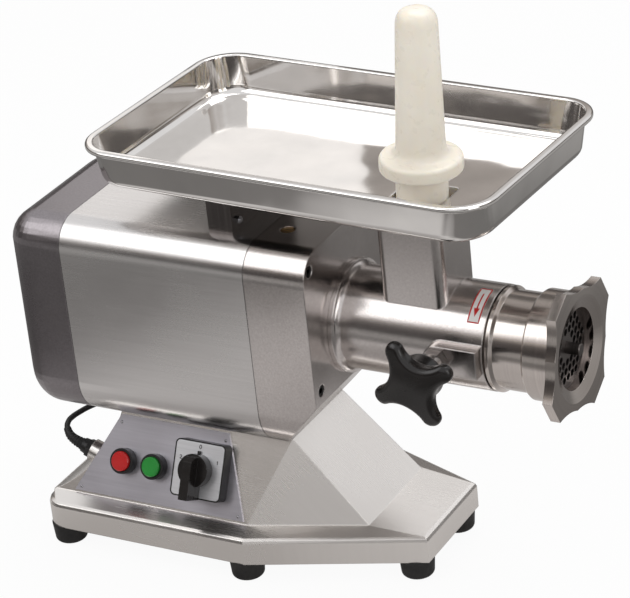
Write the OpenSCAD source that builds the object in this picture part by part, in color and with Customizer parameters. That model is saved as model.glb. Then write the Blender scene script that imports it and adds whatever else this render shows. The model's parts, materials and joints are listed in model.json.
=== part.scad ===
// Electric meat grinder with a star-knob clamped barrel, feed tray and pusher.
// The machine stands on its feet at z = 0 and feeds along +X.
// Inside the modules x = 0 is the front face of the gearbox and y = 0 is the
// plane of the worm. The frame's origin is the middle of the machine's floor box.

/* [Fits] */
// Radial gap between a turning shaft and its bore
run_gap = 0.05; // [0.02:0.01:0.1]
// Gap between a moving part and a part that it only passes
air_gap = 0.4; // [0.3:0.1:0.8]

/* [Housing] */
// Length of the body from the gearbox front to the rear cover's back
house_l = 380; // [360:1:400]
// Width of the body
house_w = 203; // [200:1:220]
// Height of the body's underside above the table
house_z0 = 147.5; // [144:0.5:151]
// Height of the body itself
house_h = 245.5; // [244:0.5:255]
// Radius along the body's upper edges
house_rt = 34; // [28:1:38]
// Radius along the body's lower edges
house_rb = 52; // [46:1:56]
// Height of the worm's axis above the table
axis_z = 281.5; // [280:0.5:283]
// Length of the gearbox casting
gear_l = 73; // [72:1:76]
// Length of the rear cover
cover_l = 76; // [70:1:80]
// Wall of the gearbox casting
gear_wall = 8; // [7:0.5:9]
// Thickness of the gearbox front wall
gear_front = 12; // [11:0.5:13]
// Height on the front face where the sloping underside begins
slope_z = 217.5; // [212:0.5:221]
// Distance from the front face to the foot of the sloping underside
slope_x = 60; // [56:1:64]
// Sheet of the motor sleeve
sleeve_t = 2; // [1.5:0.5:2.5]
// Wall of the rear cover
cover_t = 4; // [3:0.5:5]

/* [Base] */
// Height of the plinth's underside
plinth_z0 = 23.5; // [21:0.5:26]
// Height of the plinth's side walls
plinth_h = 31; // [28:1:34]
// Half width of the plinth at its widest
plinth_w1 = 135; // [130:1:140]
// Half width of the plinth's front edge
plinth_w2 = 63; // [58:1:68]
// Distance from the gearbox front back to the plinth's widest point
plinth_xv = 93; // [88:1:98]
// Distance from the gearbox front to the plinth's front edge
plinth_xf = 98; // [94:1:102]
// Distance from the gearbox front back to the plinth's rear edge
plinth_xr = 356; // [350:1:360]
// Corner radius at the plinth's rear
plinth_r = 25; // [20:1:30]
// Radius of the plinth's upper edge
plinth_edge = 5; // [3:0.5:7]
// Height of the plinth's shallow raised top
crown_h = 4; // [3:0.5:5]
// Half width of the pedestal's foot at its widest
ped_w1 = 110; // [106:1:114]
// Half width of the pedestal's front plate at its foot
ped_w2 = 65; // [60:1:70]
// Half width of the pedestal's top at the side panels
ped_t1 = 64.5; // [62:0.5:67]
// Half width of the pedestal's top at its front edge
ped_t2 = 59; // [56:1:61]
// Distance from the gearbox front back to the foot of the panel's front edge
ped_xv = 100; // [96:1:104]
// Distance from the gearbox front to the foot of the front plate
ped_xf = 29; // [25:1:33]
// Distance from the gearbox front back to the top of the panel's front edge
ped_tv = 134; // [130:1:138]
// Distance from the gearbox front back to the top of the panel's rear edge
ped_tr = 277; // [274:1:280]
// Distance from the gearbox front back to the foot of the panel's rear edge
ped_xr = 329; // [326:1:332]
// Depth of the hollow sweep down the pedestal's rear
sweep_sag = 14; // [10:0.5:16]
// Wall of the base casting
base_wall = 6; // [5:0.5:7]
// Sheet of the bottom plate
floor_t = 2; // [1.5:0.5:3]
// Gap round the bottom plate
floor_gap = 0.5; // [0.3:0.1:1]

/* [Feet] */
// Radius of a foot under the plinth
foot_r = 20; // [18:0.5:22]
// Radius of a foot on the table
foot_r0 = 18.5; // [16:0.5:20]
// Edge radius of a foot on the table
foot_edge = 5; // [3:0.5:6]
// Distance from the gearbox front back to the rear feet
foot_xr = 334; // [330:1:336]
// Distance from the gearbox front back to the middle feet
foot_xm = 101; // [96:1:106]
// Distance from the gearbox front to the front feet
foot_xf = 77; // [72:1:80]
// Half spacing of the rear and middle feet
foot_y = 116; // [112:0.5:118]
// Half spacing of the front feet
foot_yf = 51; // [46:0.5:53]
// Radius of the foot screws
foot_screw_r = 3; // [2.5:0.5:4]
// Depth of the screw recess in a foot
foot_recess = 9; // [7:1:11]

/* [Control panel] */
// Thickness of the panel plate
panel_t = 1.5; // [1:0.5:2]
// Bare border of the pedestal round the panel plate
panel_edge = 3; // [2:0.5:4]
// Radius of a rivet head
rivet_r = 1.8; // [1.4:0.1:2.2]
// Height of a rivet head
rivet_h = 0.9; // [0.6:0.1:1.2]
// Distance of a rivet from the panel's edges
rivet_in = 9; // [8:0.5:11]

/* [Push buttons] */
// Distance from the gearbox front back to the stop button
stop_x = 262.5; // [258:0.5:266]
// Distance from the gearbox front back to the start button
start_x = 222.5; // [218:0.5:226]
// Height of both buttons up the panel
button_v = 45.5; // [42:0.5:50]
// Radius of the black bezel
bezel_r = 14.5; // [14:0.5:15.5]
// Height of the black bezel
bezel_h = 11; // [9:0.5:13]
// Radius of a cap
cap_r = 11.2; // [10.5:0.1:11.6]
// Height of a cap's face above the panel
cap_h = 16; // [14.5:0.5:18]
// Travel of a cap
cap_travel = 4; // [3:0.5:4.5]
// Radius of the threaded neck through the panel
neck_r = 11; // [10.5:0.25:11.25]
// Length of the threaded neck behind the panel
neck_l = 22; // [20:1:26]
// Radius of a cap's plunger
plunger_r = 5; // [4:0.5:6]
// Width of the contact block behind a button
contact_w = 30; // [26:1:32]
// Depth of the contact block
contact_d = 24; // [20:1:28]
// Thickness of the ring nut behind the panel
neck_nut = 4; // [3:0.5:5]

/* [Rotary switch] */
// Distance from the gearbox front back to the switch
switch_x = 161; // [157:1:165]
// Height of the switch up the panel
switch_v = 52; // [50:0.5:53]
// Width and height of the switch's face
switch_w = 64; // [60:1:68]
// Corner radius of the switch's face
switch_r = 6; // [4:0.5:8]
// Depth of the black bezel in front of the panel
bezel_t = 15; // [13:0.5:17]
// Margin of the black bezel round the light plate
bezel_rim = 1.6; // [1:0.2:3]
// Thickness of the light face plate
dial_t = 1.2; // [1:0.1:1.6]
// Radius of the knob's disc
handle_r = 18.5; // [17:0.5:20]
// Height of the knob's disc
handle_h = 12; // [10:0.5:14]
// Width of the grip bar
grip_w = 11; // [9:0.5:13]
// Height of the grip bar above the face plate
grip_h = 26; // [22:1:30]
// Length of the grip bar below the knob's centre
grip_l = 32.5; // [30:0.5:35]
// Length of the grip bar above the knob's centre
grip_up = 15; // [12:1:17]
// Radius of the switch's shaft
shaft_r = 3; // [2.5:0.5:4]
// Width of the cam block behind the panel
cam_w = 44; // [40:1:48]
// Depth of the cam block
cam_d = 46; // [40:1:50]

/* [Gears] */
// Tooth module of both gear stages
gear_m = 2; // [2:0.01:2.02]
// Teeth on the motor pinion
teeth_a = 16; // [16:1:16]
// Teeth on the large intermediate gear
teeth_b = 48; // [48:1:48]
// Teeth on the small intermediate pinion
teeth_c = 18; // [18:1:18]
// Teeth on the output gear
teeth_d = 46; // [46:1:46]
// Pressure angle of the teeth
gear_pa = 25; // [24:0.5:26]
// Play between meshing teeth
backlash = 0.3; // [0.25:0.05:0.4]
// Face width of the first stage gear
face_b = 14; // [12:0.5:14.5]
// Face width of the output gear
face_d = 15; // [14:0.5:15.5]
// Extra face width of each pinion
face_more = 1; // [0.5:0.5:1.5]
// Gap between the output gear and the large intermediate gear
gear_gap = 3; // [2.5:0.5:4]
// Distance of the first stage gear from the end shield
gear_clear = 2; // [1.5:0.5:2.5]
// Radius of the intermediate shaft
lay_r = 8.5; // [8:0.5:9]
// Radius of the output shaft
out_r = 15; // [14.5:0.5:15.5]
// Radius of the round front end of the output shaft
socket_r = 24; // [22:0.5:26]
// Width of the square socket in the output shaft
socket_w = 20.2; // [19.8:0.1:21]
// Depth of the square socket
socket_d = 26; // [22:1:28]
// Length of the socket end of the output shaft
socket_l = 34; // [32:1:36]

/* [Bearings] */
// Outer radius of an output bearing
obear_r = 31; // [30:0.5:32]
// Width of an output bearing
obear_w = 16; // [15:0.5:16]
// Lip between the two output bearings
obear_lip = 2; // [1.5:0.5:3]
// Outer radius of an intermediate bearing
lbear_r = 20; // [19:0.5:21]
// Width of an intermediate bearing
lbear_w = 12; // [11:0.5:12]
// Outer radius of a motor bearing
mbear_r = 26; // [25:0.5:27]
// Width of a motor bearing
mbear_w = 15; // [14:0.5:16]
// Wall of metal round a bearing
bear_wall = 8; // [7:0.5:10]
// Depth of the ring groove in a bearing's faces
bear_groove = 1.2; // [0.8:0.1:1.6]
// Width of the oil seal
seal_w = 7; // [6:0.5:7]

/* [Motor] */
// Thickness of the front end shield
shield_t = 12; // [12:0.5:14]
// Thickness of the rear end shield
rear_t = 12; // [10:0.5:14]
// Inner radius of the motor frame
frame_r = 85; // [82:1:86]
// Wall of the motor frame
frame_t = 7; // [6:0.5:8]
// Length of the motor frame
frame_l = 177; // [172:1:180]
// Half width of the frame's foot
frame_foot = 30; // [26:1:36]
// Length of the frame's foot
frame_foot_l = 110; // [100:1:120]
// Length of the stator core
core_l = 100; // [90:1:110]
// Outer radius of the rotor core
rotor_r = 45.5; // [44:0.5:47]
// Radial air gap of the motor
rotor_gap = 0.5; // [0.4:0.1:0.8]
// Length of each winding head
wind_l = 22; // [18:1:24]
// Radial thickness of a winding head
wind_t = 24; // [20:1:28]
// Radius of the motor shaft at the front bearing
motor_r = 12.5; // [12:0.5:12.5]
// Radius of the motor shaft under the rotor core
motor_r2 = 15; // [14:0.5:17]
// Radius of the motor shaft at the rear bearing
motor_r3 = 10; // [9:0.5:11]
// Radius of the cooling fan
fan_r = 74; // [68:1:78]
// Depth of the fan blades
fan_w = 18; // [14:1:20]
// Number of fan blades
fan_n = 8; // [6:1:10]
// Thickness of a fan blade
fan_t = 2; // [1.5:0.5:3]
// Gap between the rear shield and the fan
fan_gap = 5; // [4:0.5:8]

/* [Head] */
// Radius of the head's flange on the gearbox
flange_r = 63; // [61:0.5:65]
// Thickness of the flange's straight edge
flange_t = 5; // [4:0.5:6]
// Radius of the hollow between flange and tube
flange_fillet = 8; // [6:0.5:9]
// Radius of the head's tube
head_r = 57.3; // [56.5:0.1:58.5]
// Length of the head from the gearbox
head_l = 178.5; // [177:0.5:179]
// Radius of the spigot that centres the head on the gearbox
spigot_r = 42; // [40:0.5:43]
// Length of the spigot
spigot_l = 8; // [7.5:0.5:9]
// Inner radius behind the barrel
chamber_r = 44; // [42:0.5:46]
// Distance of the neck's centre from the gearbox
throat_x = 92.5; // [90:0.5:95]
// Outer width of the neck
neck_w = 76; // [74:0.5:78]
// Outer corner radius of the neck
neck_cr = 10.5; // [9:0.5:12]
// Wall of the neck
neck_wall = 6; // [5:0.5:7]
// Distance of the clamp boss's face from the worm's axis
boss_y = 70; // [68:0.5:72]
// Height of the clamp boss
boss_h = 32; // [28:1:34]
// Distance of the knob's axis from the gearbox
knob_x = 132; // [128:1:140]

/* [Barrel] */
// Distance of the barrel's rear end from the gearbox
barrel_x0 = 52; // [50:0.5:54]
// Outer radius of the barrel inside the head
barrel_r = 50; // [49.5:0.5:51]
// Inner radius of the barrel
barrel_ri = 45; // [44:0.5:46]
// Radius of the barrel's rim in front of the head
rim_r = 57; // [56:0.5:58]
// Distance of the rim from the gearbox
rim_x = 180; // [179.5:0.5:181]
// Width of the rim
rim_w = 8; // [7:0.5:10]
// Outer radius of the barrel in front of the rim
mouth_r = 53.4; // [53:0.1:54]
// Distance of the barrel's mouth from the gearbox
mouth_x = 248; // [247:0.5:248.5]
// Thickness of the barrel's rear wall
barrel_back = 6; // [5:0.5:7]
// Outer radius of the worm's bushing
bush_r = 26; // [25:0.5:27]
// Width of the feed opening in the barrel
feed_w = 62; // [60:1:64]

/* [Worm] */
// Radius of the worm's journal
journal_r = 20; // [19:0.5:21]
// Width of the worm's square shank
shank_w = 19.8; // [19.4:0.1:20]
// Outer radius of the worm's flight
flight_r = 44.3; // [43.5:0.1:44.5]
// Advance of the flight in one turn
flight_pitch = 54; // [48:1:60]
// Angle that the flight fills on its round section
flight_angle = 44; // [36:2:52]
// Radius of the worm's core at the feed end
core_r0 = 18; // [16:0.5:20]
// Radius of the worm's core at the knife
core_r1 = 27; // [24:0.5:29]
// Radius of the worm's thrust collar
collar_r = 30; // [28:1:32]
// Thickness of the thrust collar
collar_t = 4; // [3:0.5:5]
// Width of the square that drives the knife
drive_w = 24; // [22:0.5:26]
// Radius of the worm's front pin
pin_r = 6.5; // [6:0.1:7]
// Length of the pin in front of the plate
pin_out = 17; // [15:0.5:18]

/* [Knife and plate] */
// Thickness of the plate
plate_t = 10; // [9.5:0.5:10.5]
// Radial gap of the plate in the barrel's mouth
plate_gap = 0.2; // [0.1:0.05:0.4]
// Radius of the plate's holes
hole_r = 4; // [3:0.25:4.25]
// Spacing of the plate's holes
hole_pitch = 10; // [9.5:0.5:11]
// Radius of the plate's undrilled middle
plate_hub = 13; // [12:0.5:15]
// Undrilled edge of the plate
plate_edge = 4.5; // [4:0.5:6]
// Thickness of the knife
knife_t = 9.5; // [9:0.5:10]
// Radius of the knife's hub
knife_hub = 21; // [19:0.5:23]
// Radius of the knife's arms
knife_r = 43.5; // [42:0.5:44]
// Width of a knife arm at the hub
knife_w = 15; // [13:0.5:17]
// Gap between the knife and the plate
knife_gap = 0.2; // [0.1:0.1:0.5]

/* [Ring nut] */
// Radius of the ring nut's round part
ring_r = 59.5; // [58:0.5:60]
// Distance of the ring nut's rear end from the gearbox
ring_x0 = 223; // [220:1:226]
// Thickness of the ring nut's lobed flange
ring_flange = 11; // [10:0.5:13]
// Depth of the lip in front of the plate
lip_t = 16; // [15:0.5:18]
// Radius of the ring nut's opening
lip_r = 43; // [42:0.5:44]
// Radius of the bevel round the opening
bevel_r = 57.5; // [56:0.5:58.5]
// Depth of the bevel round the opening
bevel_d = 5; // [4:0.5:6]
// Radius of the ring nut's corners
lobe_r = 81.5; // [78:0.5:84]
// Half angle of each cut corner
lobe_half = 12; // [10:1:14]
// Turn of the lobes as the nut is fastened
lobe_turn = 30.5; // [20:0.5:40]
// Depth of the finger hollows along the lobed sides
hollow_d = 3; // [2:0.5:4]
// Depth of each side's low middle bump below its corners
bump_d = 2.5; // [1.5:0.5:4]
// Widening of the opening towards the plate
lip_flare = 3.5; // [2:0.5:4]

/* [Star knob] */
// Radius of the circle through the lobe centres
star_r = 40; // [38:0.5:42]
// Radius of a lobe's tip
star_tip = 10; // [9:0.5:11]
// Radius to the hollows between lobes
star_waist = 26; // [25:0.5:28]
// Thickness of the star
star_t = 18; // [16:1:20]
// Turn of the lobes as the knob is fastened
star_turn = 27; // [20:1:40]
// Radius of the knob's hub
star_hub = 25; // [22:0.5:25.5]
// Length of the knob's hub
star_hub_l = 26; // [22:1:28]
// Radius of the dome over the star's face
star_dome = 150; // [120:5:180]
// Radius of the knob's stud
stud_r = 6; // [5:0.5:7]
// Radius of the steel collar on the stud
stud_collar_r = 13; // [11:0.5:15]
// Length of the steel collar on the stud
stud_collar_l = 22; // [18:1:25]

/* [Tray] */
// Length of the tray over its rim
tray_l = 498; // [488:1:506]
// Width of the tray over its rim
tray_w = 296; // [288:1:302]
// Height of the tray from its floor's underside to its rim
tray_h = 47; // [43:0.5:50]
// Height of the tray's underside above the table
tray_z = 432.8; // [430:0.2:436]
// Distance from the tray's centre back to the gearbox front
tray_back = 28.5; // [24:0.5:34]
// Distance of the tray's centre behind the worm's plane
tray_side = 50.5; // [46:0.5:54]
// Turn of the pan on the neck
tray_turn = 2.85; // [0:0.05:3]
// Corner radius of the rim
tray_cr = 46; // [40:1:52]
// Corner radius at the foot of the tray's walls
tray_low_cr = 76; // [60:1:84]
// Sheet of the tray
tray_t = 1.5; // [1.2:0.1:2]
// Width of the rolled rim
rim_roll = 9; // [7:0.5:10]
// Depth of the rolled rim
rim_d = 6; // [5:0.5:8]
// Lean of the walls from the rim to the floor
tray_draft = 3; // [2:0.5:6]
// Edge radius of the tray's floor
tray_floor_r = 12; // [9:1:14]
// Depth of the collar under the tray's hole
tray_collar = 22; // [16:1:26]

/* [Pusher] */
// Radius of the pusher's body
push_r = 27.5; // [26.5:0.5:28]
// Radius of the pusher's flange
push_flange_r = 44.3; // [41:0.1:46]
// Thickness of the flange
push_flange_t = 16; // [14:0.5:18]
// Height of the flange's underside above the tray's floor
push_flange_z = 34.7; // [30:0.1:38]
// Height of the handle above the flange
push_handle = 163; // [150:1:170]
// Radius of the handle at its top
push_top_r = 21.8; // [20:0.2:24]
// Radius of the handle above its flare
push_low_r = 26; // [24:0.5:28]
// Lean of the pusher against the edge of the hole
push_lean = 3; // [0:0.1:3]
// Gap between the pusher's foot and the worm
push_foot = 2; // [1:0.5:4]

/* [Tray bracket] */
// Distance from the gearbox front back to the bracket's web
bracket_x = 101.5; // [96:0.5:108]
// Depth of the bracket's side flanges
bracket_d = 29.5; // [26:0.5:34]
// Half width of the bracket
bracket_w = 65; // [60:1:66]
// Sheet of the bracket
bracket_t = 3; // [2:0.5:4]
// Height of the clips that hold the bracket
clip_h = 22; // [18:1:26]
// Width of a clip
clip_w = 24; // [20:1:28]
// Distance of the clip bolts inside the bracket's edge
clip_in = 13; // [12.5:0.5:18]
// Height of the clip bolts above the sleeve
clip_z = 12; // [10:0.5:14]

/* [Screws] */
// Radius of the gearbox's long screws
long_r = 4; // [3.5:0.5:4]
// Radius of a long screw's round head
long_head_r = 6.5; // [6:0.5:7]
// Length of a long screw's round head
long_head_h = 8; // [7:0.5:8]
// Width across the flats of the key socket in a round head
key_w = 6; // [5:0.5:6]
// Distance of the upper screws inside the body's side
long_in = 15; // [14:0.5:18]
// Distance of the upper screws below the body's top
long_down = 19; // [18:0.5:22]
// Distance of the lower screws above the sloping underside
long_up = 15; // [13:1:18]
// Radius of the small screws
small_r = 2; // [1.5:0.5:2.5]
// Height of the cover screws' heads
cover_head = 2; // [1.5:0.5:3]
// Radius of the oil plug's head
oil_r = 8; // [7:0.5:9]
// Distance from the gearbox front back to the oil plug
oil_x = 50.5; // [48:0.5:53]
// Distance of the oil plug beside the worm's plane
oil_y = 36.5; // [33:0.5:40]

/* [Mains lead] */
// Radius of the lead
cord_r = 3.25; // [3:0.25:4]
// Distance from the gearbox front back to the gland's seat
gland_x = 331; // [328:1:334]
// Distance of the gland beside the worm's plane
gland_y = 55; // [53:1:57]
// Height of the gland's seat
gland_z = 82; // [80:1:84]
// Upward tilt of the gland
gland_tilt = 20; // [10:1:25]
// Length of the boss that the gland sits on
gland_seat = 26; // [24:1:28]
// Radius of the gland
gland_r = 9.5; // [9:0.5:11]
// Length of the gland's body
gland_l = 13; // [11:1:15]
// Length of the gland's tapered sleeve
boot_l = 9; // [8:0.5:11]

/* [Hidden] */
$fn = 64;
// Small step by which cutting shapes run past the surfaces they open
eps = 0.5;
// Thickness of the slabs that carry the end outlines of a pulled shape
thin = 0.01;
quarter = 90;
half_turn = 180;
full_turn = 360;

// Body
house_z1 = house_z0 + house_h;
half_w = house_w / 2;
seam_x = -gear_l;
cover_x = -(house_l - cover_l);
axis_rel = axis_z - house_z0;

// Base
plinth_z1 = plinth_z0 + plinth_h;
ped_z = plinth_z1 + crown_h;
ped_h = house_z0 - ped_z;
panel_run = ped_w1 - ped_t1;
panel_lean = atan(panel_run / ped_h);
panel_h = norm([panel_run, ped_h]);
ped_wall = base_wall * (cos(panel_lean) + sin(panel_lean));
ped_xb = plinth_xr - plinth_edge;
sweep_chord = norm([ped_xb - ped_tr, ped_h]);
sweep_r = sweep_chord * sweep_chord / (8 * sweep_sag) + sweep_sag / 2;
sweep_n = [-ped_h, ped_xb - ped_tr] / sweep_chord;
sweep_c = [-(ped_xb + ped_tr) / 2, ped_z + ped_h / 2] + sweep_n * (sweep_r - sweep_sag);
feet = [
    [-foot_xr, foot_y], [-foot_xr, -foot_y], [-foot_xm, foot_y],
    [-foot_xm, -foot_y], [foot_xf, foot_yf], [foot_xf, -foot_yf]
];

// Height of a cap's underside above the panel
cap_under = bezel_h - 3;

// Gear train, from the end shield forwards
stage_c = gear_m * (teeth_a + teeth_b) / 2;
lay_z = axis_z - stage_c;
gear_b_x = seam_x + gear_clear;
gear_d_x = gear_b_x + face_b + gear_gap;
gear_d_end = gear_d_x + face_d;
lay_front_x = gear_d_end + face_more;
obear_x = -2 * obear_w - obear_lip;
out_x0 = gear_d_x - 0.2;
shield_x = seam_x - shield_t;
mbear_x = shield_x - mbear_w + 9;
frame_x = shield_x - frame_l;
core_mid = shield_x - frame_l / 2;
frame_grip = 20;
core_x = core_mid - core_l / 2;
rear_x = frame_x - rear_t;
fan_x = rear_x - fan_gap - fan_w;
motor_x1 = gear_b_x + face_b + face_more;

// Grinding line
boss_z = axis_z + 1;
hub_y = boss_y + air_gap + stud_collar_l;
plate_x = mouth_x + 1 - plate_t;
plate_r = barrel_ri + 5;
plate_front = plate_x + plate_t;
knife_x = plate_x - knife_gap - knife_t;
worm_x0 = barrel_x0 + barrel_back + 0.5;
flight_x0 = worm_x0 + collar_t;
flight_x1 = knife_x - 6;
ring_x1 = plate_front + lip_t;
throat_w = neck_w - 2 * neck_wall;
throat_r = neck_cr - neck_wall + 1;
pin_x1 = plate_front + pin_out;

// Tray and pusher
collar_w = throat_w - 2 * air_gap;
hole_w = collar_w - 2 * tray_t;
hole_cr = throat_r - air_gap - tray_t;
push_x = throat_x + hole_w / 2 - push_r / cos(push_lean) - 0.1;
push_z0 = axis_z + flight_r + push_foot;
push_body = tray_z + push_flange_z - push_z0;

// Middle of the machine's floor box, which is the frame's origin
tray_reach_y = (tray_l / 2 - tray_cr) * sin(tray_turn) + (tray_w / 2 - tray_cr) * cos(tray_turn);
far_y = tray_side + tray_reach_y + tray_cr;
mid_x = (pin_x1 - house_l - cover_head) / 2;
mid_y = (far_y - max(foot_y + foot_r, hub_y + star_hub_l + star_t)) / 2;

// Lead: its coil and plug on the table, and the points of its free run
coil_c = [-232, 232];
coil_r = 38;
coil_turns = 4;
cord_steps = 5;
cord_sides = 10;
gland_out = [-cos(gland_tilt), 0, sin(gland_tilt)];
cord_gap = 0.8;
cord_start = [-gland_x, -gland_y, gland_z] + gland_out * (gland_l + boot_l + cord_gap);
cord_route = [
    [-362, -52.5, 93.8], [-370.2, -45.6, 98], [-374.9, -35.5, 100.7], [-375.7, -24, 101.3],
    [-372.8, -12.9, 102.1], [-366.5, -3.5, 104.5], [-358.7, 4.8, 106.4], [-350.9, 13.3, 106.7],
    [-343.9, 22.4, 106], [-332, 42, 106.6], [-321.3, 62.8, 107], [-312.5, 84, 104], [-304, 108, 91],
    [-297, 129, 69], [-291, 146, 45], [-284, 160, 24], [-273, 172, 10], [-257, 181, 4], [-242, 185, cord_r],
    [coil_c[0], coil_c[1] - coil_r - 2 * cord_r - 0.3, cord_r]
];
plug_at = coil_c + [-48.5, coil_r];

// ---- Frames and shared outlines ----

module machine() {
    translate([-mid_x, -mid_y, 0]) children();
}

// Turns a shape drawn in the plan of y and z so that it runs along +X from x
module along_x(x, z = 0) {
    translate([x, 0, z]) rotate([quarter, 0, quarter]) children();
}

// Stands a shape on the left-hand panel at x and at v up the slope, facing out
module on_panel(x, v) {
    translate([-x, -ped_w1, ped_z]) rotate([quarter - panel_lean, 0, 0]) translate([0, v, 0]) children();
}

// Places a shape at the gland, running out of the pedestal's rear
module on_gland() {
    translate([-gland_x, -gland_y, gland_z]) rotate([0, gland_tilt - quarter, 0]) children();
}

module rounded(w, h, r) {
    square([w - 2 * r, h], center = true);
    square([w, h - 2 * r], center = true);
    for (x = [-1, 1], y = [-1, 1])
        translate([x * (w / 2 - r), y * (h / 2 - r)]) circle(r);
}

// The body's section, drawn with y across and z up
module body_section(inset) {
    w = half_w - inset;
    z0 = house_z0 + inset;
    z1 = house_z1 - inset;
    rt = house_rt - inset;
    rb = house_rb - inset;
    translate([-w, z0 + rb]) square([2 * w, z1 - rt - z0 - rb]);
    translate([rt - w, z1 - rt - eps]) square([2 * (w - rt), rt + eps]);
    translate([rb - w, z0]) square([2 * (w - rb), rb + eps]);
    for (s = [-1, 1]) {
        translate([s * (w - rt), z1 - rt]) circle(rt);
        translate([s * (w - rb), z0 + rb]) circle(rb);
    }
}

module body_block(x0, x1, inset) {
    along_x(x0) linear_extrude(x1 - x0) body_section(inset);
}

module ring(r0, r1, h) {
    difference() {
        cylinder(h = h, r = r1);
        translate([0, 0, -eps]) cylinder(h = h + 2 * eps, r = r0);
    }
}

module bearing(r0, r1, w) {
    mid = (r0 + r1) / 2;
    band = (r1 - r0) / 5;
    difference() {
        ring(r0, r1, w);
        translate([0, 0, -eps]) ring(mid - band, mid + band, bear_groove + eps);
        translate([0, 0, w - bear_groove]) ring(mid - band, mid + band, bear_groove + eps);
    }
}

// ---- Gear teeth ----

function inv(a) = tan(a) * half_turn / PI - a;
function tooth_half(n) = quarter / n - backlash / (gear_m * n) * quarter / PI / 2 + inv(gear_pa);
function flank(n, r) = tooth_half(n) - inv(acos(gear_m * n / 2 * cos(gear_pa) / r));
function spot(r, a) = [r * cos(a), r * sin(a)];

module gear_outline(n) {
    tip = gear_m * (n + 2) / 2 - 0.1;
    root = gear_m * (n - 2.5) / 2;
    low = max(root + 0.1, gear_m * n / 2 * cos(gear_pa) + 0.01);
    mid = (tip + low) / 2;
    polygon([
        for (i = [0:n - 1], s = [-1, 1], k = [0:3])
            let (r = s < 0 ? [root, low, mid, tip][k] : [tip, mid, low, root][k])
            spot(r, i * full_turn / n + s * flank(n, max(r, low)))
    ]);
}

// ---- Base ----

function plinth_points(d) = [
    [-plinth_xr + d, -plinth_w1 + d], [-plinth_xv, -plinth_w1 + d], [plinth_xf - d, -plinth_w2 + d / 2],
    [plinth_xf - d, plinth_w2 - d / 2], [-plinth_xv, plinth_w1 - d], [-plinth_xr + d, plinth_w1 - d]
];

module plinth_plan(d) {
    r = plinth_r - d;
    difference() {
        polygon(plinth_points(d));
        for (s = [-1, 1])
            translate([-plinth_xr + d, s * (plinth_w1 - d)]) square(2 * r, center = true);
    }
    for (s = [-1, 1])
        translate([-plinth_xr + d + r, s * (plinth_w1 - d - r)]) circle(r);
}

// Outline of the pedestal at its foot and at its top, drawn in by a wall
function foot_points(d) = [
    [-ped_xb + d, -ped_w1 + d], [-ped_xv - d / 3, -ped_w1 + d], [ped_xf - d * 1.4, -ped_w2 + d],
    [ped_xf - d * 1.4, ped_w2 - d], [-ped_xv - d / 3, ped_w1 - d], [-ped_xb + d, ped_w1 - d]
];
function top_points(d) = [
    [-ped_tr + d, -ped_t1 + d], [-ped_tv - d / 3, -ped_t1 + d], [-slope_x - d * 1.4, -ped_t2 + d],
    [-slope_x - d * 1.4, ped_t2 - d], [-ped_tv - d / 3, ped_t1 - d], [-ped_tr + d, ped_t1 - d]
];

module pedestal(d) {
    hull() {
        translate([0, 0, ped_z - thin - d]) linear_extrude(thin) polygon(foot_points(d));
        translate([0, 0, house_z0 - thin - d]) linear_extrude(thin) polygon(top_points(d));
    }
}

// Cuts the hollow sweep of the pedestal's rear
module rear_sweep(d) {
    translate([sweep_c[0], 0, sweep_c[1]]) rotate([quarter, 0, 0])
        cylinder(h = 2 * plinth_w1, r = sweep_r + d, center = true, $fn = 180);
}

module base_shape(d) {
    below = d > 0 ? eps : 0;
    rim = plinth_z1 - plinth_edge - d;
    translate([0, 0, plinth_z0 - below]) linear_extrude(rim - plinth_z0 + below) plinth_plan(d);
    hull() {
        translate([0, 0, rim - eps]) linear_extrude(eps) plinth_plan(d);
        translate([0, 0, rim]) linear_extrude(plinth_edge * 0.7) plinth_plan(d + plinth_edge * 0.3);
        translate([0, 0, rim]) linear_extrude(plinth_edge) plinth_plan(d + plinth_edge);
    }
    hull() {
        translate([0, 0, rim]) linear_extrude(plinth_edge) plinth_plan(d + plinth_edge);
        translate([0, 0, ped_z - d]) linear_extrude(eps / 4) polygon(foot_points(d - 1));
    }
    difference() {
        pedestal(d);
        rear_sweep(d);
    }
}

module gland_hole() {
    on_gland() cylinder(h = 3 * gland_seat, r = gland_r * 0.7, center = true);
}

module base_casting() color([0.72, 0.71, 0.70]) machine() {
    difference() {
        base_shape(0);
        base_shape(base_wall);
        panel_cuts();
        gland_hole();
        for (p = frame_bolt_spots)
            translate([p[0], p[1], house_z0 - 2 * base_wall]) cylinder(h = 4 * base_wall, r = long_r + air_gap);
    }
    difference() {
        on_gland() translate([0, 0, -gland_seat]) cylinder(h = gland_seat, r = gland_r * 1.4);
        gland_hole();
    }
    for (p = feet) {
        translate([p[0], p[1], plinth_z0 + floor_t]) difference() {
            cylinder(h = plinth_h - floor_t - base_wall / 2, r = 2.4 * foot_screw_r);
            translate([0, 0, -eps]) cylinder(h = plinth_h / 2, r = foot_screw_r);
        }
    }
    for (p = floor_spots) {
        translate([p[0], p[1], plinth_z0 + floor_t]) difference() {
            cylinder(h = plinth_h - floor_t - base_wall / 2, r = 2.5 * small_r);
            translate([0, 0, -eps]) cylinder(h = plinth_h / 2, r = small_r);
        }
    }
}

// Bottom plate screws, between the feet
floor_spots = [
    [plinth_xf - 16, 0], [-(foot_xr + foot_xm) / 2, foot_y + 1.5], [-(foot_xr + foot_xm) / 2, -foot_y - 1.5]
];

module bottom_plate() color([0.6, 0.6, 0.6]) machine() {
    translate([0, 0, plinth_z0]) linear_extrude(floor_t) difference() {
        plinth_plan(base_wall + floor_gap);
        for (p = feet) translate(p) circle(foot_screw_r + air_gap);
        for (p = floor_spots) translate(p) circle(small_r + air_gap);
    }
}

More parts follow.
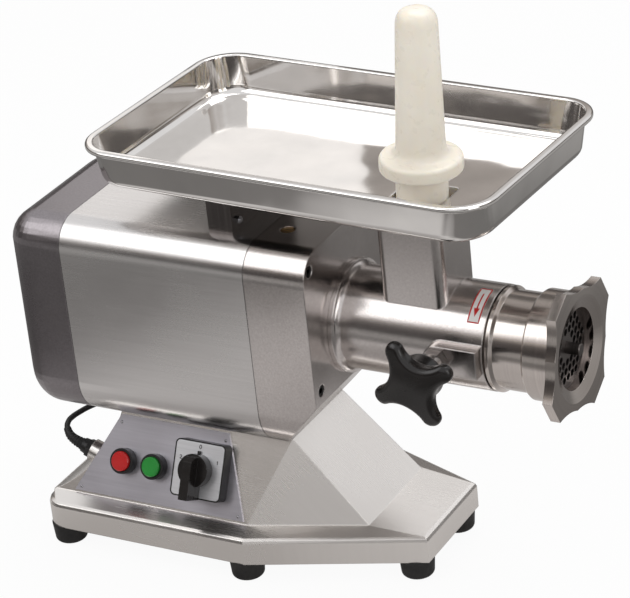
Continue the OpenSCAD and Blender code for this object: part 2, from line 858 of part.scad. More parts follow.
module bottom_plate_screws() color([0.75, 0.75, 0.75]) machine() {
    for (p = floor_spots) translate([p[0], p[1], plinth_z0]) {
        translate([0, 0, -small_r]) cylinder(h = small_r, r = 2 * small_r);
        translate([0, 0, -eps]) cylinder(h = plinth_h / 2, r = small_r);
    }
}

module rubber_feet() color([0.08, 0.08, 0.08]) machine() {
    for (p = feet) translate([p[0], p[1], 0]) rotate_extrude() difference() {
        union() {
            polygon([[0, 0], [foot_r0 - foot_edge, 0], [foot_r0, foot_edge], [foot_r, plinth_z0], [0, plinth_z0]]);
            translate([foot_r0 - foot_edge, foot_edge]) circle(foot_edge);
        }
        translate([-1, -1]) square([2 * foot_screw_r + 1, foot_recess + 1]);
        translate([-1, 0]) square([foot_screw_r + air_gap / 4 + 1, plinth_z0 + 1]);
        translate([-foot_r, -foot_r]) square([foot_r, 3 * foot_r]);
    }
}

module foot_screws() color([0.7, 0.7, 0.7]) machine() {
    for (p = feet) translate([p[0], p[1], foot_recess]) {
        translate([0, 0, -foot_screw_r]) cylinder(h = foot_screw_r, r = 1.8 * foot_screw_r);
        translate([0, 0, -eps]) cylinder(h = plinth_z0 - foot_recess + plinth_h / 3, r = foot_screw_r);
    }
}

// ---- Control panel ----

function panel_x0(v) = ped_xr - (ped_xr - ped_tr) * v / panel_h;
function panel_x1(v) = ped_xv + (ped_tv - ped_xv) * v / panel_h;
panel_low = panel_edge;
panel_high = panel_h - panel_edge;

// Holes that the panel's fittings need, through the plate and the casting behind it
module panel_cuts() {
    depth = 3 * base_wall;
    for (x = [stop_x, start_x])
        on_panel(x, button_v) cylinder(h = 2 * depth, r = neck_r + air_gap, center = true);
    on_panel(switch_x, switch_v) cylinder(h = 2 * depth, r = 3 * shaft_r, center = true);
}

module control_panel() color([0.60, 0.61, 0.66]) machine() difference() {
    on_panel(0, 0) linear_extrude(panel_t) polygon([
        [panel_edge - panel_x0(panel_low), panel_low], [-panel_edge - panel_x1(panel_low), panel_low],
        [-panel_edge - panel_x1(panel_high), panel_high], [panel_edge - panel_x0(panel_high), panel_high]
    ]);
    panel_cuts();
    for (p = rivet_spots) on_panel(p[0], p[1]) cylinder(h = 2 * base_wall, r = rivet_r / 2, center = true);
}

rivet_spots = [
    for (v = [panel_low + rivet_in / 2, panel_high - rivet_in], s = [0, 1])
        [s == 0 ? panel_x0(v) - rivet_in : panel_x1(v) + rivet_in, v]
];

module panel_rivets() color([0.7, 0.7, 0.72]) machine() {
    for (p = rivet_spots) on_panel(p[0], p[1]) {
        translate([0, 0, panel_t]) cylinder(h = rivet_h, r1 = rivet_r, r2 = rivet_r * 0.6);
        cylinder(h = panel_t + eps, r = rivet_r / 2);
    }
}

module button_body(x) {
    on_panel(x, button_v) {
        translate([0, 0, panel_t]) ring(cap_r + air_gap, bezel_r, bezel_h);
        translate([0, 0, panel_t]) ring(plunger_r + air_gap, bezel_r, cap_under - cap_travel - panel_t - air_gap);
        translate([0, 0, -neck_l]) ring(plunger_r + air_gap, neck_r, neck_l + panel_t + eps);
        translate([-contact_w / 2, -contact_w / 2, -neck_l - contact_d]) difference() {
            cube([contact_w, contact_w, contact_d]);
            translate([contact_w / 2, contact_w / 2, contact_d - 2 * cap_travel])
                cylinder(h = 3 * cap_travel, r = plunger_r + air_gap);
        }
    }
}

module button_cap(x) {
    on_panel(x, button_v) {
        rotate_extrude() polygon([
            [0, cap_under], [cap_r, cap_under], [cap_r, cap_h - 1], [cap_r - 1, cap_h], [0, cap_h]
        ]);
        translate([0, 0, -neck_l - cap_travel / 2]) cylinder(h = neck_l + bezel_h, r = plunger_r);
    }
}

module stop_button_body() color([0.06, 0.06, 0.06]) machine() button_body(stop_x);
module start_button_body() color([0.06, 0.06, 0.06]) machine() button_body(start_x);
module stop_button_cap() color([0.75, 0.12, 0.12]) machine() button_cap(stop_x);
module start_button_cap() color([0.15, 0.58, 0.22]) machine() button_cap(start_x);

module button_ring_nuts() color([0.15, 0.15, 0.15]) machine() {
    for (x = [stop_x, start_x])
        on_panel(x, button_v) translate([0, 0, -ped_wall - neck_nut]) ring(neck_r, bezel_r, neck_nut);
}

// ---- Rotary switch ----

module switch_cam_block() color([0.2, 0.2, 0.2]) machine() on_panel(switch_x, switch_v) difference() {
    union() {
        translate([-cam_w / 2, -cam_w / 2, -ped_wall - cam_d]) cube([cam_w, cam_w, cam_d]);
        translate([0, 0, -ped_wall - 1]) cylinder(h = ped_wall + panel_t + 1, r = 2.8 * shaft_r);
    }
    translate([0, 0, -ped_wall - cam_d + 2]) cylinder(h = 2 * cam_d, r = shaft_r + run_gap);
}

module switch_bezel() color([0.05, 0.05, 0.05]) machine() on_panel(switch_x, switch_v) difference() {
    translate([0, 0, panel_t]) linear_extrude(bezel_t) rounded(switch_w, switch_w, switch_r);
    translate([0, 0, panel_t + bezel_t - dial_t]) linear_extrude(2 * dial_t)
        rounded(switch_w - 2 * bezel_rim, switch_w - 2 * bezel_rim, switch_r - bezel_rim);
    cylinder(h = 2 * bezel_t, r = shaft_r + air_gap);
}

module switch_face() color([0.72, 0.72, 0.73]) machine() on_panel(switch_x, switch_v) difference() {
    translate([0, 0, panel_t + bezel_t - dial_t]) linear_extrude(dial_t)
        rounded(switch_w - 2 * bezel_rim, switch_w - 2 * bezel_rim, switch_r - bezel_rim);
    cylinder(h = 2 * bezel_t, r = shaft_r + air_gap);
}

module switch_knob() color([0.05, 0.05, 0.05]) machine() on_panel(switch_x, switch_v) {
    translate([0, 0, panel_t + bezel_t + air_gap]) difference() {
        union() {
            cylinder(h = handle_h, r = handle_r);
            translate([-1.2, 0, 0]) cube([2.4, handle_r + 3, 3]);
            rotate([quarter, 0, quarter]) linear_extrude(grip_w, center = true) polygon([
                [-grip_l, 0], [-grip_l, grip_h], [grip_up - 5, grip_h], [grip_up, grip_h - 7], [grip_up, 0]
            ]);
        }
        translate([0, 0, -eps]) cylinder(h = handle_h, r = shaft_r);
    }
}

module switch_shaft() color([0.6, 0.6, 0.6]) machine() on_panel(switch_x, switch_v) {
    translate([0, 0, 3 - ped_wall - cam_d])
        cylinder(h = cam_d + ped_wall + panel_t + bezel_t + handle_h - 4, r = shaft_r);
}

// ---- Lead ----

module cable_gland() color([0.07, 0.07, 0.07]) machine() on_gland() difference() {
    union() {
        translate([0, 0, -gland_seat - 6]) cylinder(h = gland_seat + 8, r = gland_r * 0.68);
        cylinder(h = gland_l * 0.5, r = gland_r * 1.2, $fn = 6);
        translate([0, 0, gland_l * 0.4]) cylinder(h = gland_l * 0.6, r1 = gland_r, r2 = gland_r * 0.9);
        translate([0, 0, -gland_seat - 5]) cylinder(h = 4.5, r = gland_r * 1.2, $fn = 6);
    }
    translate([0, 0, -2 * gland_seat]) cylinder(h = 2 * gland_seat - 4, r = cord_r);
}

module strain_relief() color([0.07, 0.07, 0.07]) machine() on_gland() {
    translate([0, 0, gland_l]) cylinder(h = boot_l, r1 = gland_r * 0.8, r2 = cord_r + 0.8);
}

function unit(v) = v / norm(v);
function spline(p, i, t) =
    let (a = p[max(i - 1, 0)], b = p[i], c = p[i + 1], d = p[min(i + 2, len(p) - 1)])
    ((2 * b) + (c - a) * t + (2 * a - 5 * b + 4 * c - d) * t * t + (3 * b - a - 3 * c + d) * t * t * t) / 2;
function tangents(p) =
    [for (i = [0:len(p) - 1]) unit(p[min(i + 1, len(p) - 1)] - p[max(i - 1, 0)])];
function carried(t, a, i = 0) =
    i == len(t) ? [] : let (b = unit(a - (a * t[i]) * t[i])) concat([b], carried(t, b, i + 1));

module tube(points, r, sides) {
    t = tangents(points);
    a = carried(t, [0, 1, 0]);
    n = len(points);
    polyhedron(
        [
            for (i = [0:n - 1], k = [0:sides - 1])
                let (f = k * full_turn / sides, b = cross(t[i], a[i]))
                points[i] + r * (cos(f) * a[i] + sin(f) * b)
        ],
        concat(
            [[for (k = [0:sides - 1]) sides - 1 - k]],
            [
                for (i = [0:n - 2], k = [0:sides - 1], h = [0, 1])
                    let (p = i * sides + k, q = i * sides + (k + 1) % sides)
                    h == 0 ? [p, q, p + sides] : [q, q + sides, p + sides]
            ],
            [[for (k = [0:sides - 1]) (n - 1) * sides + k]]
        )
    );
}

cord_line = concat([cord_start], cord_route);

module mains_cord() color([0.10, 0.10, 0.10]) machine() {
    tube([
        for (i = [0:len(cord_line) - 2], k = [0:cord_steps - 1]) spline(cord_line, i, k / cord_steps),
        cord_line[len(cord_line) - 1]
    ], cord_r, cord_sides);
}

module cord_coil() color([0.10, 0.10, 0.10]) machine() {
    translate([coil_c[0], coil_c[1], 0])
        ring(coil_r - cord_r, coil_r + cord_r, 2 * cord_r * coil_turns);
}

module mains_plug() color([0.08, 0.08, 0.08]) machine() translate([plug_at[0], plug_at[1], 0]) {
    translate([0, 0, 18]) rotate([0, -quarter, 0]) {
        cylinder(h = 30, r = 18);
        translate([0, 0, -22]) cylinder(h = 22, r1 = 6, r2 = 16);
        for (s = [-1, 1]) translate([s * 9.5, 0, 30 - eps]) cylinder(h = 19 + eps, r = 2.4);
    }
}

// ---- Gearbox ----

long_spots = [
    for (s = [-1, 1], z = [house_z1 - long_down, slope_z + long_up]) [s * (half_w - long_in), z]
];
slope_a = atan((slope_z - house_z0) / slope_x);

// Everything below the sloping underside, moved in by a wall
module below_slope(d) {
    translate([0, half_w, slope_z]) rotate([quarter, 0, 0]) translate([0, d / cos(slope_a), -eps])
        linear_extrude(house_w + 2 * eps)
            polygon([
                [gear_l, gear_l * tan(slope_a)], [-2 * gear_l, -2 * gear_l * tan(slope_a)],
                [gear_l, -2 * gear_l * tan(slope_a)]
            ]);
}

module gearbox_casting() color([0.74, 0.73, 0.72]) machine() difference() {
    union() {
        difference() {
            body_block(seam_x, 0, 0);
            difference() {
                body_block(seam_x - eps, -gear_front, gear_wall);
                below_slope(gear_wall);
            }
        }
        intersection() {
            union() {
                along_x(obear_x, axis_z) cylinder(h = -obear_x, r = obear_r + bear_wall);
                along_x(lay_front_x, lay_z) cylinder(h = -lay_front_x, r = lbear_r + bear_wall);
                for (p = long_spots)
                    along_x(seam_x) translate(p) cylinder(h = gear_l, r = 2.2 * long_r);
            }
            body_block(seam_x, 0, 0);
        }
        along_x(-eps, axis_z) cylinder(h = spigot_l + eps, r = spigot_r);
    }
    below_slope(0);
    along_x(obear_x - eps, axis_z) cylinder(h = obear_w + eps, r = obear_r);
    along_x(obear_x, axis_z) cylinder(h = 2 * obear_w, r = obear_r - 3);
    along_x(-obear_w, axis_z) cylinder(h = obear_w + spigot_l + eps, r = obear_r);
    along_x(lay_front_x - eps, lay_z) cylinder(h = lbear_w + eps, r = lbear_r);
    for (p = long_spots) {
        along_x(seam_x - eps) translate(p) cylinder(h = gear_l + 2 * eps, r = long_r + air_gap / 2);
        along_x(-long_head_h - 1) translate(p) cylinder(h = long_head_h + 2, r = long_head_r + air_gap / 2);
    }
    translate([-oil_x, -oil_y, house_z1 - 2 * gear_wall]) cylinder(h = 3 * gear_wall, r = oil_r * 0.7);
    translate([-oil_x, -oil_y, house_z1 - 4]) cylinder(h = 4 + eps, r = oil_r + air_gap);
    for (p = head_screw_spots)
        along_x(-gear_front - eps, axis_z) translate(p) cylinder(h = 2 * gear_front, r = small_r + air_gap + 0.5);
}

// Bolts up through the pedestal's top into the motor frame's foot
frame_bolt_spots = [
    for (s = [-1, 1], x = [-1, 1]) [core_mid + x * (frame_foot_l / 2 - 2 * long_r), s * (frame_foot - 10)]
];

module frame_bolts() color([0.6, 0.6, 0.6]) machine() {
    for (p = frame_bolt_spots) translate([p[0], p[1], house_z0 - base_wall]) {
        translate([0, 0, -5]) cylinder(h = 5, r = 1.8 * long_r, $fn = 6);
        translate([0, 0, -eps]) cylinder(h = base_wall + frame_grip - 1, r = long_r);
    }
}

// Round-headed key screws that hold the gearbox to the front end shield
module gearbox_screws() color([0.35, 0.35, 0.36]) machine() {
    for (p = long_spots) {
        along_x(-long_head_h - 1) translate(p) difference() {
            cylinder(h = long_head_h, r = long_head_r);
            translate([0, 0, long_head_h / 2])
                cylinder(h = long_head_h, r = key_w / 2 / cos(half_turn / 6), $fn = 6);
        }
        along_x(shield_x + 2) translate(p)
            cylinder(h = gear_l + shield_t - long_head_h - 2.5, r = long_r);
    }
}

module oil_plug() color([0.72, 0.55, 0.30]) machine() translate([-oil_x, -oil_y, house_z1]) difference() {
    union() {
        translate([0, 0, -4]) cylinder(h = 2.5, r = oil_r);
        translate([0, 0, -gear_wall]) cylinder(h = gear_wall - 3, r = oil_r * 0.7);
    }
    translate([-oil_r, -0.8, -2.8]) cube([2 * oil_r, 1.6, 3]);
}

module front_end_shield() color([0.66, 0.66, 0.66]) machine() difference() {
    union() {
        body_block(shield_x, seam_x, sleeve_t + air_gap / 2);
        along_x(mbear_x - 2, axis_z) cylinder(h = shield_x - mbear_x + 3, r = mbear_r + bear_wall);
    }
    along_x(mbear_x - 3, axis_z) cylinder(h = mbear_w + 3, r = mbear_r);
    along_x(mbear_x, axis_z) cylinder(h = 2 * mbear_w, r = motor_r + 3);
    along_x(seam_x - lbear_w, lay_z) cylinder(h = lbear_w + eps, r = lbear_r);
    for (p = long_spots)
        along_x(shield_x + 2) translate(p) cylinder(h = shield_t, r = long_r);
}

module output_bearings() color([0.8, 0.8, 0.82]) machine() {
    for (x = [obear_x, -obear_w])
        along_x(x, axis_z) bearing(out_r + run_gap, obear_r, obear_w);
}

module layshaft_bearings() color([0.8, 0.8, 0.82]) machine() {
    for (x = [lay_front_x, seam_x - lbear_w])
        along_x(x, lay_z) bearing(lay_r + run_gap, lbear_r, lbear_w);
}

module oil_seal() color([0.15, 0.13, 0.12]) machine() {
    along_x(spigot_l - seal_w - 0.5, axis_z) ring(out_r + run_gap, obear_r, seal_w);
}

module layshaft() color([0.55, 0.55, 0.57]) machine() {
    along_x(seam_x - lbear_w, lay_z) cylinder(h = lay_front_x + 2 * lbear_w - seam_x, r = lay_r);
    along_x(gear_d_x - face_more, lay_z)
        linear_extrude(face_d + face_more) rotate(quarter) gear_outline(teeth_c);
}

module layshaft_gear() color([0.5, 0.5, 0.52]) machine() {
    along_x(gear_b_x, lay_z) linear_extrude(face_b) difference() {
        rotate(quarter + half_turn / teeth_b) gear_outline(teeth_b);
        circle(lay_r);
        for (k = [0:5]) rotate(k * full_turn / 6) translate([27, 0]) circle(8);
    }
}

module output_gear() color([0.5, 0.5, 0.52]) machine() {
    along_x(gear_d_x, axis_z) linear_extrude(face_d) difference() {
        rotate(-quarter + half_turn / teeth_d) gear_outline(teeth_d);
        circle(out_r);
        for (k = [0:5]) rotate(k * full_turn / 6) translate([29, 0]) circle(7);
    }
}

module output_shaft() color([0.6, 0.6, 0.62]) machine() {
    along_x(out_x0, axis_z) cylinder(h = spigot_l + 2 - out_x0, r = out_r);
    along_x(spigot_l + 1, axis_z) difference() {
        cylinder(h = socket_l, r = socket_r);
        translate([0, 0, socket_l - socket_d / 2 + eps]) cube([socket_w, socket_w, socket_d], center = true);
    }
}

// ---- Motor ----

module motor_sleeve() color([0.70, 0.69, 0.69]) machine() difference() {
    body_block(cover_x, seam_x, 0);
    body_block(cover_x - eps, seam_x + eps, sleeve_t);
    for (p = frame_bolt_spots)
        translate([p[0], p[1], house_z0 - eps]) cylinder(h = 3 * sleeve_t, r = long_r + air_gap);
}

module motor_frame() color([0.62, 0.62, 0.62]) machine() difference() {
    union() {
        along_x(frame_x, axis_z) cylinder(h = frame_l, r = frame_r + frame_t);
        translate([core_mid - frame_foot_l / 2, -frame_foot, house_z0 + sleeve_t])
            cube([frame_foot_l, 2 * frame_foot, axis_rel - frame_r]);
    }
    along_x(frame_x - eps, axis_z) cylinder(h = frame_l + 2 * eps, r = frame_r);
    for (p = frame_bolt_spots)
        translate([p[0], p[1], house_z0]) cylinder(h = frame_grip, r = long_r);
}

module rear_end_shield() color([0.66, 0.66, 0.66]) machine() difference() {
    body_block(rear_x, frame_x, sleeve_t + air_gap / 2);
    along_x(rear_x - eps, axis_z) cylinder(h = mbear_w - 3, r = mbear_r - 2.5);
    along_x(rear_x - eps, axis_z) cylinder(h = 2 * rear_t, r = motor_r3 + 3);
    for (k = [0:5]) along_x(rear_x - eps, axis_z)
        rotate(k * full_turn / 6 + 30) translate([frame_r * 0.68, 0]) cylinder(h = 2 * rear_t, r = 11);
    for (p = cover_spots)
        along_x(rear_x - eps) translate(p) cylinder(h = rear_t - 2, r = small_r);
}

cover_spots = [
    for (s = [-1, 1], z = [house_z0 + house_rb, house_z1 - house_rt - 10]) [s * (half_w - house_rb + 14), z]
];

// Rounded shell of the rear cover, moved in by a wall
module cover_shape(d) {
    r = house_rt - d;
    big = house_rb - d;
    hull() {
        translate([cover_x - eps, 0, 0]) body_block(0, eps + (d > 0 ? 1 : 0), d);
        for (s = [-1, 1]) {
            translate([-house_l + d + r, s * (half_w - house_rt), house_z1 - house_rt]) sphere(r, $fn = 32);
            translate([-house_l + d + r, s * (half_w - house_rb), house_z0 + house_rb])
                rotate([0, quarter, 0]) rotate_extrude($fn = 40) intersection() {
                    translate([big - r, 0]) circle(r, $fn = 32);
                    translate([0, -r]) square([big, 2 * r]);
                }
        }
    }
}

module rear_cover() color([0.62, 0.61, 0.61]) machine() difference() {
    cover_shape(0);
    cover_shape(cover_t);
    for (p = cover_spots)
        along_x(-house_l - eps) translate(p) cylinder(h = 3 * cover_t, r = small_r + air_gap / 2);
}

module cover_screws() color([0.75, 0.75, 0.75]) machine() {
    for (p = cover_spots) along_x(-house_l - cover_head) translate(p) {
        cylinder(h = cover_head, r = 2.2 * small_r);
        cylinder(h = house_l + cover_head + rear_x + rear_t - 4, r = small_r);
    }
}

module stator_core() color([0.35, 0.35, 0.38]) machine() {
    along_x(core_x, axis_z) ring(rotor_r + rotor_gap, frame_r, core_l);
}

module stator_windings() color([0.62, 0.33, 0.18]) machine() {
    for (x = [core_x - wind_l, core_x + core_l]) along_x(x, axis_z) rotate_extrude()
        translate([rotor_r + rotor_gap + 5 + wind_t / 2, wind_l / 2]) rounded(wind_t, wind_l, 6);
}

module rotor_core() color([0.45, 0.45, 0.47]) machine() {
    along_x(core_x, axis_z) ring(motor_r2, rotor_r, core_l);
}

module rotor_shaft() color([0.6, 0.6, 0.62]) machine() {
    pinion_x = gear_b_x - face_more / 2;
    along_x(fan_x, axis_z) cylinder(h = pinion_x - fan_x, r = motor_r3);
    along_x(mbear_x - 1, axis_z) cylinder(h = pinion_x - mbear_x + 1, r = motor_r);
    along_x(core_x - 8, axis_z) cylinder(h = mbear_x - core_x + 8, r = motor_r2);
    along_x(pinion_x - eps, axis_z)
        linear_extrude(face_b + face_more + eps) rotate(-quarter) gear_outline(teeth_a);
}

module motor_bearings() color([0.8, 0.8, 0.82]) machine() {
    along_x(mbear_x, axis_z) bearing(motor_r + run_gap, mbear_r, mbear_w);
    along_x(rear_x, axis_z) bearing(motor_r3 + run_gap, mbear_r - 2.5, mbear_w - 4);
}

module cooling_fan() color([0.12, 0.12, 0.13]) machine() along_x(fan_x, axis_z) difference() {
    union() {
        cylinder(h = fan_w, r = 2 * motor_r3);
        translate([0, 0, fan_w - 2]) cylinder(h = 2, r = fan_r);
        for (k = [0:fan_n - 1]) rotate(k * full_turn / fan_n)
            translate([motor_r3 + 2, -fan_t / 2, 0]) cube([fan_r - motor_r3 - 4, fan_t, fan_w - 1]);
    }
    translate([0, 0, -eps]) cylinder(h = 2 * fan_w, r = motor_r3);
}

// ---- Head and barrel ----

head_screw_spots = [for (k = [0:3]) spot(spigot_r + 9, 45 + k * quarter)];

module neck_column(w, r, z0) {
    translate([throat_x, 0, z0]) linear_extrude(tray_z - z0) rounded(w, w, r);
}

module head_casting() color([0.74, 0.73, 0.72]) machine() difference() {
    union() {
        along_x(0, axis_z) rotate_extrude() union() {
            square([flange_r, flange_t]);
            square([head_r, head_l]);
            difference() {
                square([head_r + flange_fillet, flange_t + flange_fillet]);
                translate([head_r + flange_fillet, flange_t + flange_fillet]) circle(flange_fillet);
                translate([flange_r, 0]) square([2 * flange_fillet, 2 * flange_fillet + flange_t]);
            }
        }
        neck_column(neck_w, neck_cr, axis_z);
        on_knob(chamber_r) linear_extrude(boss_y - chamber_r) {
            circle(boss_h / 2);
            translate([0, -boss_h / 2]) square([head_l - 1 - knob_x, boss_h]);
        }
    }
    along_x(-eps, axis_z) cylinder(h = spigot_l + 2 * eps, r = spigot_r);
    along_x(spigot_l, axis_z) cylinder(h = barrel_x0 - spigot_l + eps, r = chamber_r);
    along_x(barrel_x0, axis_z) cylinder(h = head_l, r = barrel_r);
    neck_column(throat_w, throat_r, axis_z + 20);
    translate([0, 0, tray_z - eps]) linear_extrude(2) translate([throat_x, 0]) square(2 * neck_w, center = true);
    translate([knob_x, 0, boss_z]) rotate([quarter, 0, 0]) cylinder(h = 2 * boss_y, r = stud_r + run_gap);
    for (p = head_screw_spots)
        along_x(-eps, axis_z) translate(p) cylinder(h = flange_t + flange_fillet, r = small_r + 0.5);
}

module head_screws() color([0.35, 0.35, 0.36]) machine() {
    for (p = head_screw_spots) {
        along_x(-gear_front - 4, axis_z) translate(p) cylinder(h = 4, r = 2 * small_r + 0.5);
        along_x(-gear_front - eps, axis_z) translate(p)
            cylinder(h = gear_front + flange_t + flange_fillet - eps, r = small_r + 0.5);
    }
}

module barrel() color([0.68, 0.67, 0.66]) machine() difference() {
    union() {
        along_x(barrel_x0, axis_z) cylinder(h = rim_x - barrel_x0 + eps, r = barrel_r);
        along_x(rim_x, axis_z) rotate_extrude() polygon([
            [0, 0], [rim_r - 1, 0], [rim_r, 1], [rim_r, rim_w - 3], [mouth_r, rim_w],
            [mouth_r, mouth_x - rim_x], [0, mouth_x - rim_x]
        ]);
    }
    along_x(barrel_x0 + barrel_back, axis_z) cylinder(h = mouth_x, r = barrel_ri);
    along_x(barrel_x0 - eps, axis_z) cylinder(h = 2 * barrel_back, r = bush_r);
    along_x(plate_x, axis_z) cylinder(h = mouth_x, r = plate_r);
    translate([throat_x, 0, axis_z + 20]) linear_extrude(barrel_r) rounded(feed_w, feed_w, throat_r);
}

module worm_bushing() color([0.70, 0.56, 0.34]) machine() {
    along_x(barrel_x0, axis_z) ring(journal_r + run_gap, bush_r, barrel_back);
}

module worm() color([0.66, 0.66, 0.67]) machine() {
    reach = flight_x1 - flight_x0;
    along_x(spigot_l + 1 + socket_l - socket_d + 2, axis_z) linear_extrude(socket_d + eps)
        square(shank_w, center = true);
    along_x(spigot_l + 2 + socket_l, axis_z)
        cylinder(h = worm_x0 - spigot_l - 1 - socket_l, r = journal_r);
    along_x(worm_x0, axis_z) cylinder(h = collar_t, r = collar_r);
    along_x(flight_x0 - eps, axis_z) cylinder(h = knife_x - flight_x0 + eps, r1 = core_r0, r2 = core_r1, $fn = 36);
    along_x(flight_x0 - 1, axis_z)
        linear_extrude(reach + 1, twist = full_turn * reach / flight_pitch, slices = round(reach / 3.4))
            polygon([
                [0, 0],
                for (k = [-2:2]) spot(flight_r, k * flight_angle / 4)
            ]);
    along_x(knife_x - eps, axis_z) linear_extrude(knife_t + eps) square(drive_w, center = true);
    along_x(knife_x, axis_z) cylinder(h = pin_x1 - 1 - knife_x, r = pin_r);
    along_x(pin_x1 - 1, axis_z) cylinder(h = 1, r1 = pin_r, r2 = pin_r - 1);
}

module knife() color([0.60, 0.60, 0.61]) machine() along_x(knife_x, axis_z) {
    linear_extrude(knife_t) difference() {
        union() {
            circle(knife_hub);
            for (k = [0:3]) rotate(k * quarter) polygon([
                [0, -knife_w / 2], [knife_r, -knife_w * 0.1], [knife_r, knife_w * 0.35], [0, knife_w / 2]
            ]);
        }
        square(drive_w + 0.1, center = true);
    }
}

hole_rows = floor(plate_r / (hole_pitch * sin(60)));
hole_cols = floor(plate_r / hole_pitch) + 1;
hole_spots = [
    for (j = [-hole_rows:hole_rows], i = [-hole_cols:hole_cols])
        let (p = [(i + (j % 2 == 0 ? 0 : 0.5)) * hole_pitch, j * hole_pitch * sin(60)])
        if (norm(p) > plate_hub + hole_r && norm(p) < plate_r - plate_edge - hole_r) p
];

module grinder_plate() color([0.50, 0.50, 0.51]) machine() along_x(plate_x, axis_z) {
    difference() {
        cylinder(h = plate_t, r = plate_r - plate_gap);
        for (p = hole_spots) translate([p[0], p[1], -eps]) cylinder(h = plate_t + 2 * eps, r = hole_r, $fn = 24);
        translate([0, 0, -eps]) cylinder(h = plate_t + 2 * eps, r = pin_r + run_gap);
    }
}

// Square outline with cut corners and two shallow hollows along each side
module lobed_outline() {
    corner = [for (k = [0:3], s = [-1, 1]) spot(lobe_r, k * quarter + s * lobe_half)];
    side = lobe_r * cos(45 - lobe_half);
    span = lobe_r * sin(45 - lobe_half);
    chord = norm([span, bump_d]);
    r = (chord * chord / 4 + hollow_d * hollow_d) / (2 * hollow_d);
    out = (r - hollow_d) / chord;
    difference() {
        polygon(corner);
        for (k = [0:3], s = [-1, 1]) rotate(45 + k * quarter)
            translate([side - bump_d / 2 + out * span, s * (span / 2 - out * bump_d)]) circle(r);
    }
}

module ring_nut() color([0.68, 0.67, 0.66]) machine() along_x(ring_x0, axis_z) difference() {
    union() {
        cylinder(h = 2, r1 = ring_r - 1.5, r2 = ring_r);
        translate([0, 0, 2]) cylinder(h = ring_x1 - ring_flange - ring_x0 - 1, r = ring_r);
        translate([0, 0, ring_x1 - ring_flange - ring_x0])
            linear_extrude(ring_flange) rotate(lobe_turn) lobed_outline();
    }
    translate([0, 0, -eps]) cylinder(h = plate_front - ring_x0 + eps, r = mouth_r + run_gap);
    translate([0, 0, plate_front - ring_x0]) cylinder(h = lip_t, r1 = lip_r + lip_flare, r2 = lip_r);
    translate([0, 0, ring_x1 - bevel_d - ring_x0])
        cylinder(h = bevel_d + 0.01, r1 = lip_r, r2 = bevel_r);
}

// ---- Star knob ----

// Runs a shape out along -Y from a distance beside the knob's axis
module on_knob(y) {
    translate([knob_x, -y, boss_z]) rotate([quarter, 0, 0]) children();
}

module star_outline() {
    d = (star_r * star_r - pow(star_waist - star_tip, 2)) / (2 * (star_r * cos(45) - star_waist + star_tip));
    difference() {
        circle(star_r);
        for (k = [0:3]) rotate(45 + k * quarter) translate([d, 0]) circle(d - star_waist);
    }
    for (k = [0:3]) rotate(k * quarter) translate([star_r, 0]) circle(star_tip);
}

module star_knob() color([0.07, 0.07, 0.07]) machine() on_knob(hub_y) difference() {
    union() {
        cylinder(h = star_hub_l / 3, r1 = star_hub * 0.7, r2 = star_hub);
        translate([0, 0, star_hub_l / 3]) cylinder(h = star_hub_l, r = star_hub);
        intersection() {
            translate([0, 0, star_hub_l]) linear_extrude(star_t) rotate(star_turn) star_outline();
            translate([0, 0, star_hub_l + star_t - star_dome]) sphere(star_dome, $fn = 90);
        }
    }
    translate([0, 0, -eps]) cylinder(h = star_hub_l + 6, r = stud_r);
}

module knob_stud() color([0.6, 0.6, 0.61]) machine() {
    on_knob(barrel_r + 0.3) cylinder(h = hub_y + star_hub_l + 5 - barrel_r, r = stud_r);
    on_knob(boss_y + air_gap / 2) cylinder(h = stud_collar_l / 2, r = stud_collar_r * 1.15, $fn = 6);
    on_knob(boss_y + stud_collar_l / 2) cylinder(h = stud_collar_l / 2 + air_gap, r1 = stud_collar_r, r2 = stud_collar_r * 0.85);
}

// ---- Tray and pusher ----

// Places the turned pan over the machine
module on_tray(z) {
    translate([-tray_back, tray_side, z]) rotate(-tray_turn) children();
}

module pan_plan(d, r = tray_cr) {
    rounded(tray_l - 2 * d, tray_w - 2 * d, r - d, $fn = 48);
}

// Solid of the pan below the rim, moved in by the sheet
module pan_shape(d) {
    in = rim_roll - tray_t + d;
    hull() {
        translate([0, 0, tray_h - (d > 0 ? 0 : 2)]) linear_extrude(1) pan_plan(in);
        translate([0, 0, tray_floor_r]) linear_extrude(1) pan_plan(in + tray_draft, tray_low_cr);
        translate([0, 0, tray_floor_r * 0.3 + d * 0.6]) linear_extrude(1)
            pan_plan(in + tray_draft + tray_floor_r * 0.35, tray_low_cr);
        translate([0, 0, d]) linear_extrude(1) pan_plan(in + tray_draft + tray_floor_r, tray_low_cr);
    }
}

module tray() color([0.80, 0.80, 0.81]) machine() {
    difference() {
        union() {
            on_tray(tray_z) pan_shape(0);
            on_tray(tray_z + tray_h - rim_d) difference() {
                linear_extrude(rim_d) pan_plan(0);
                translate([0, 0, -eps]) linear_extrude(2 * rim_d) pan_plan(rim_roll - tray_t / 2);
            }
        }
        on_tray(tray_z) pan_shape(tray_t);
        translate([throat_x, 0, tray_z - 1]) linear_extrude(4) rounded(hole_w, hole_w, hole_cr);
    }
    translate([throat_x, 0, tray_z - tray_collar]) linear_extrude(tray_collar + tray_t) difference() {
        rounded(collar_w, collar_w, throat_r - air_gap);
        rounded(hole_w, hole_w, hole_cr);
    }
}

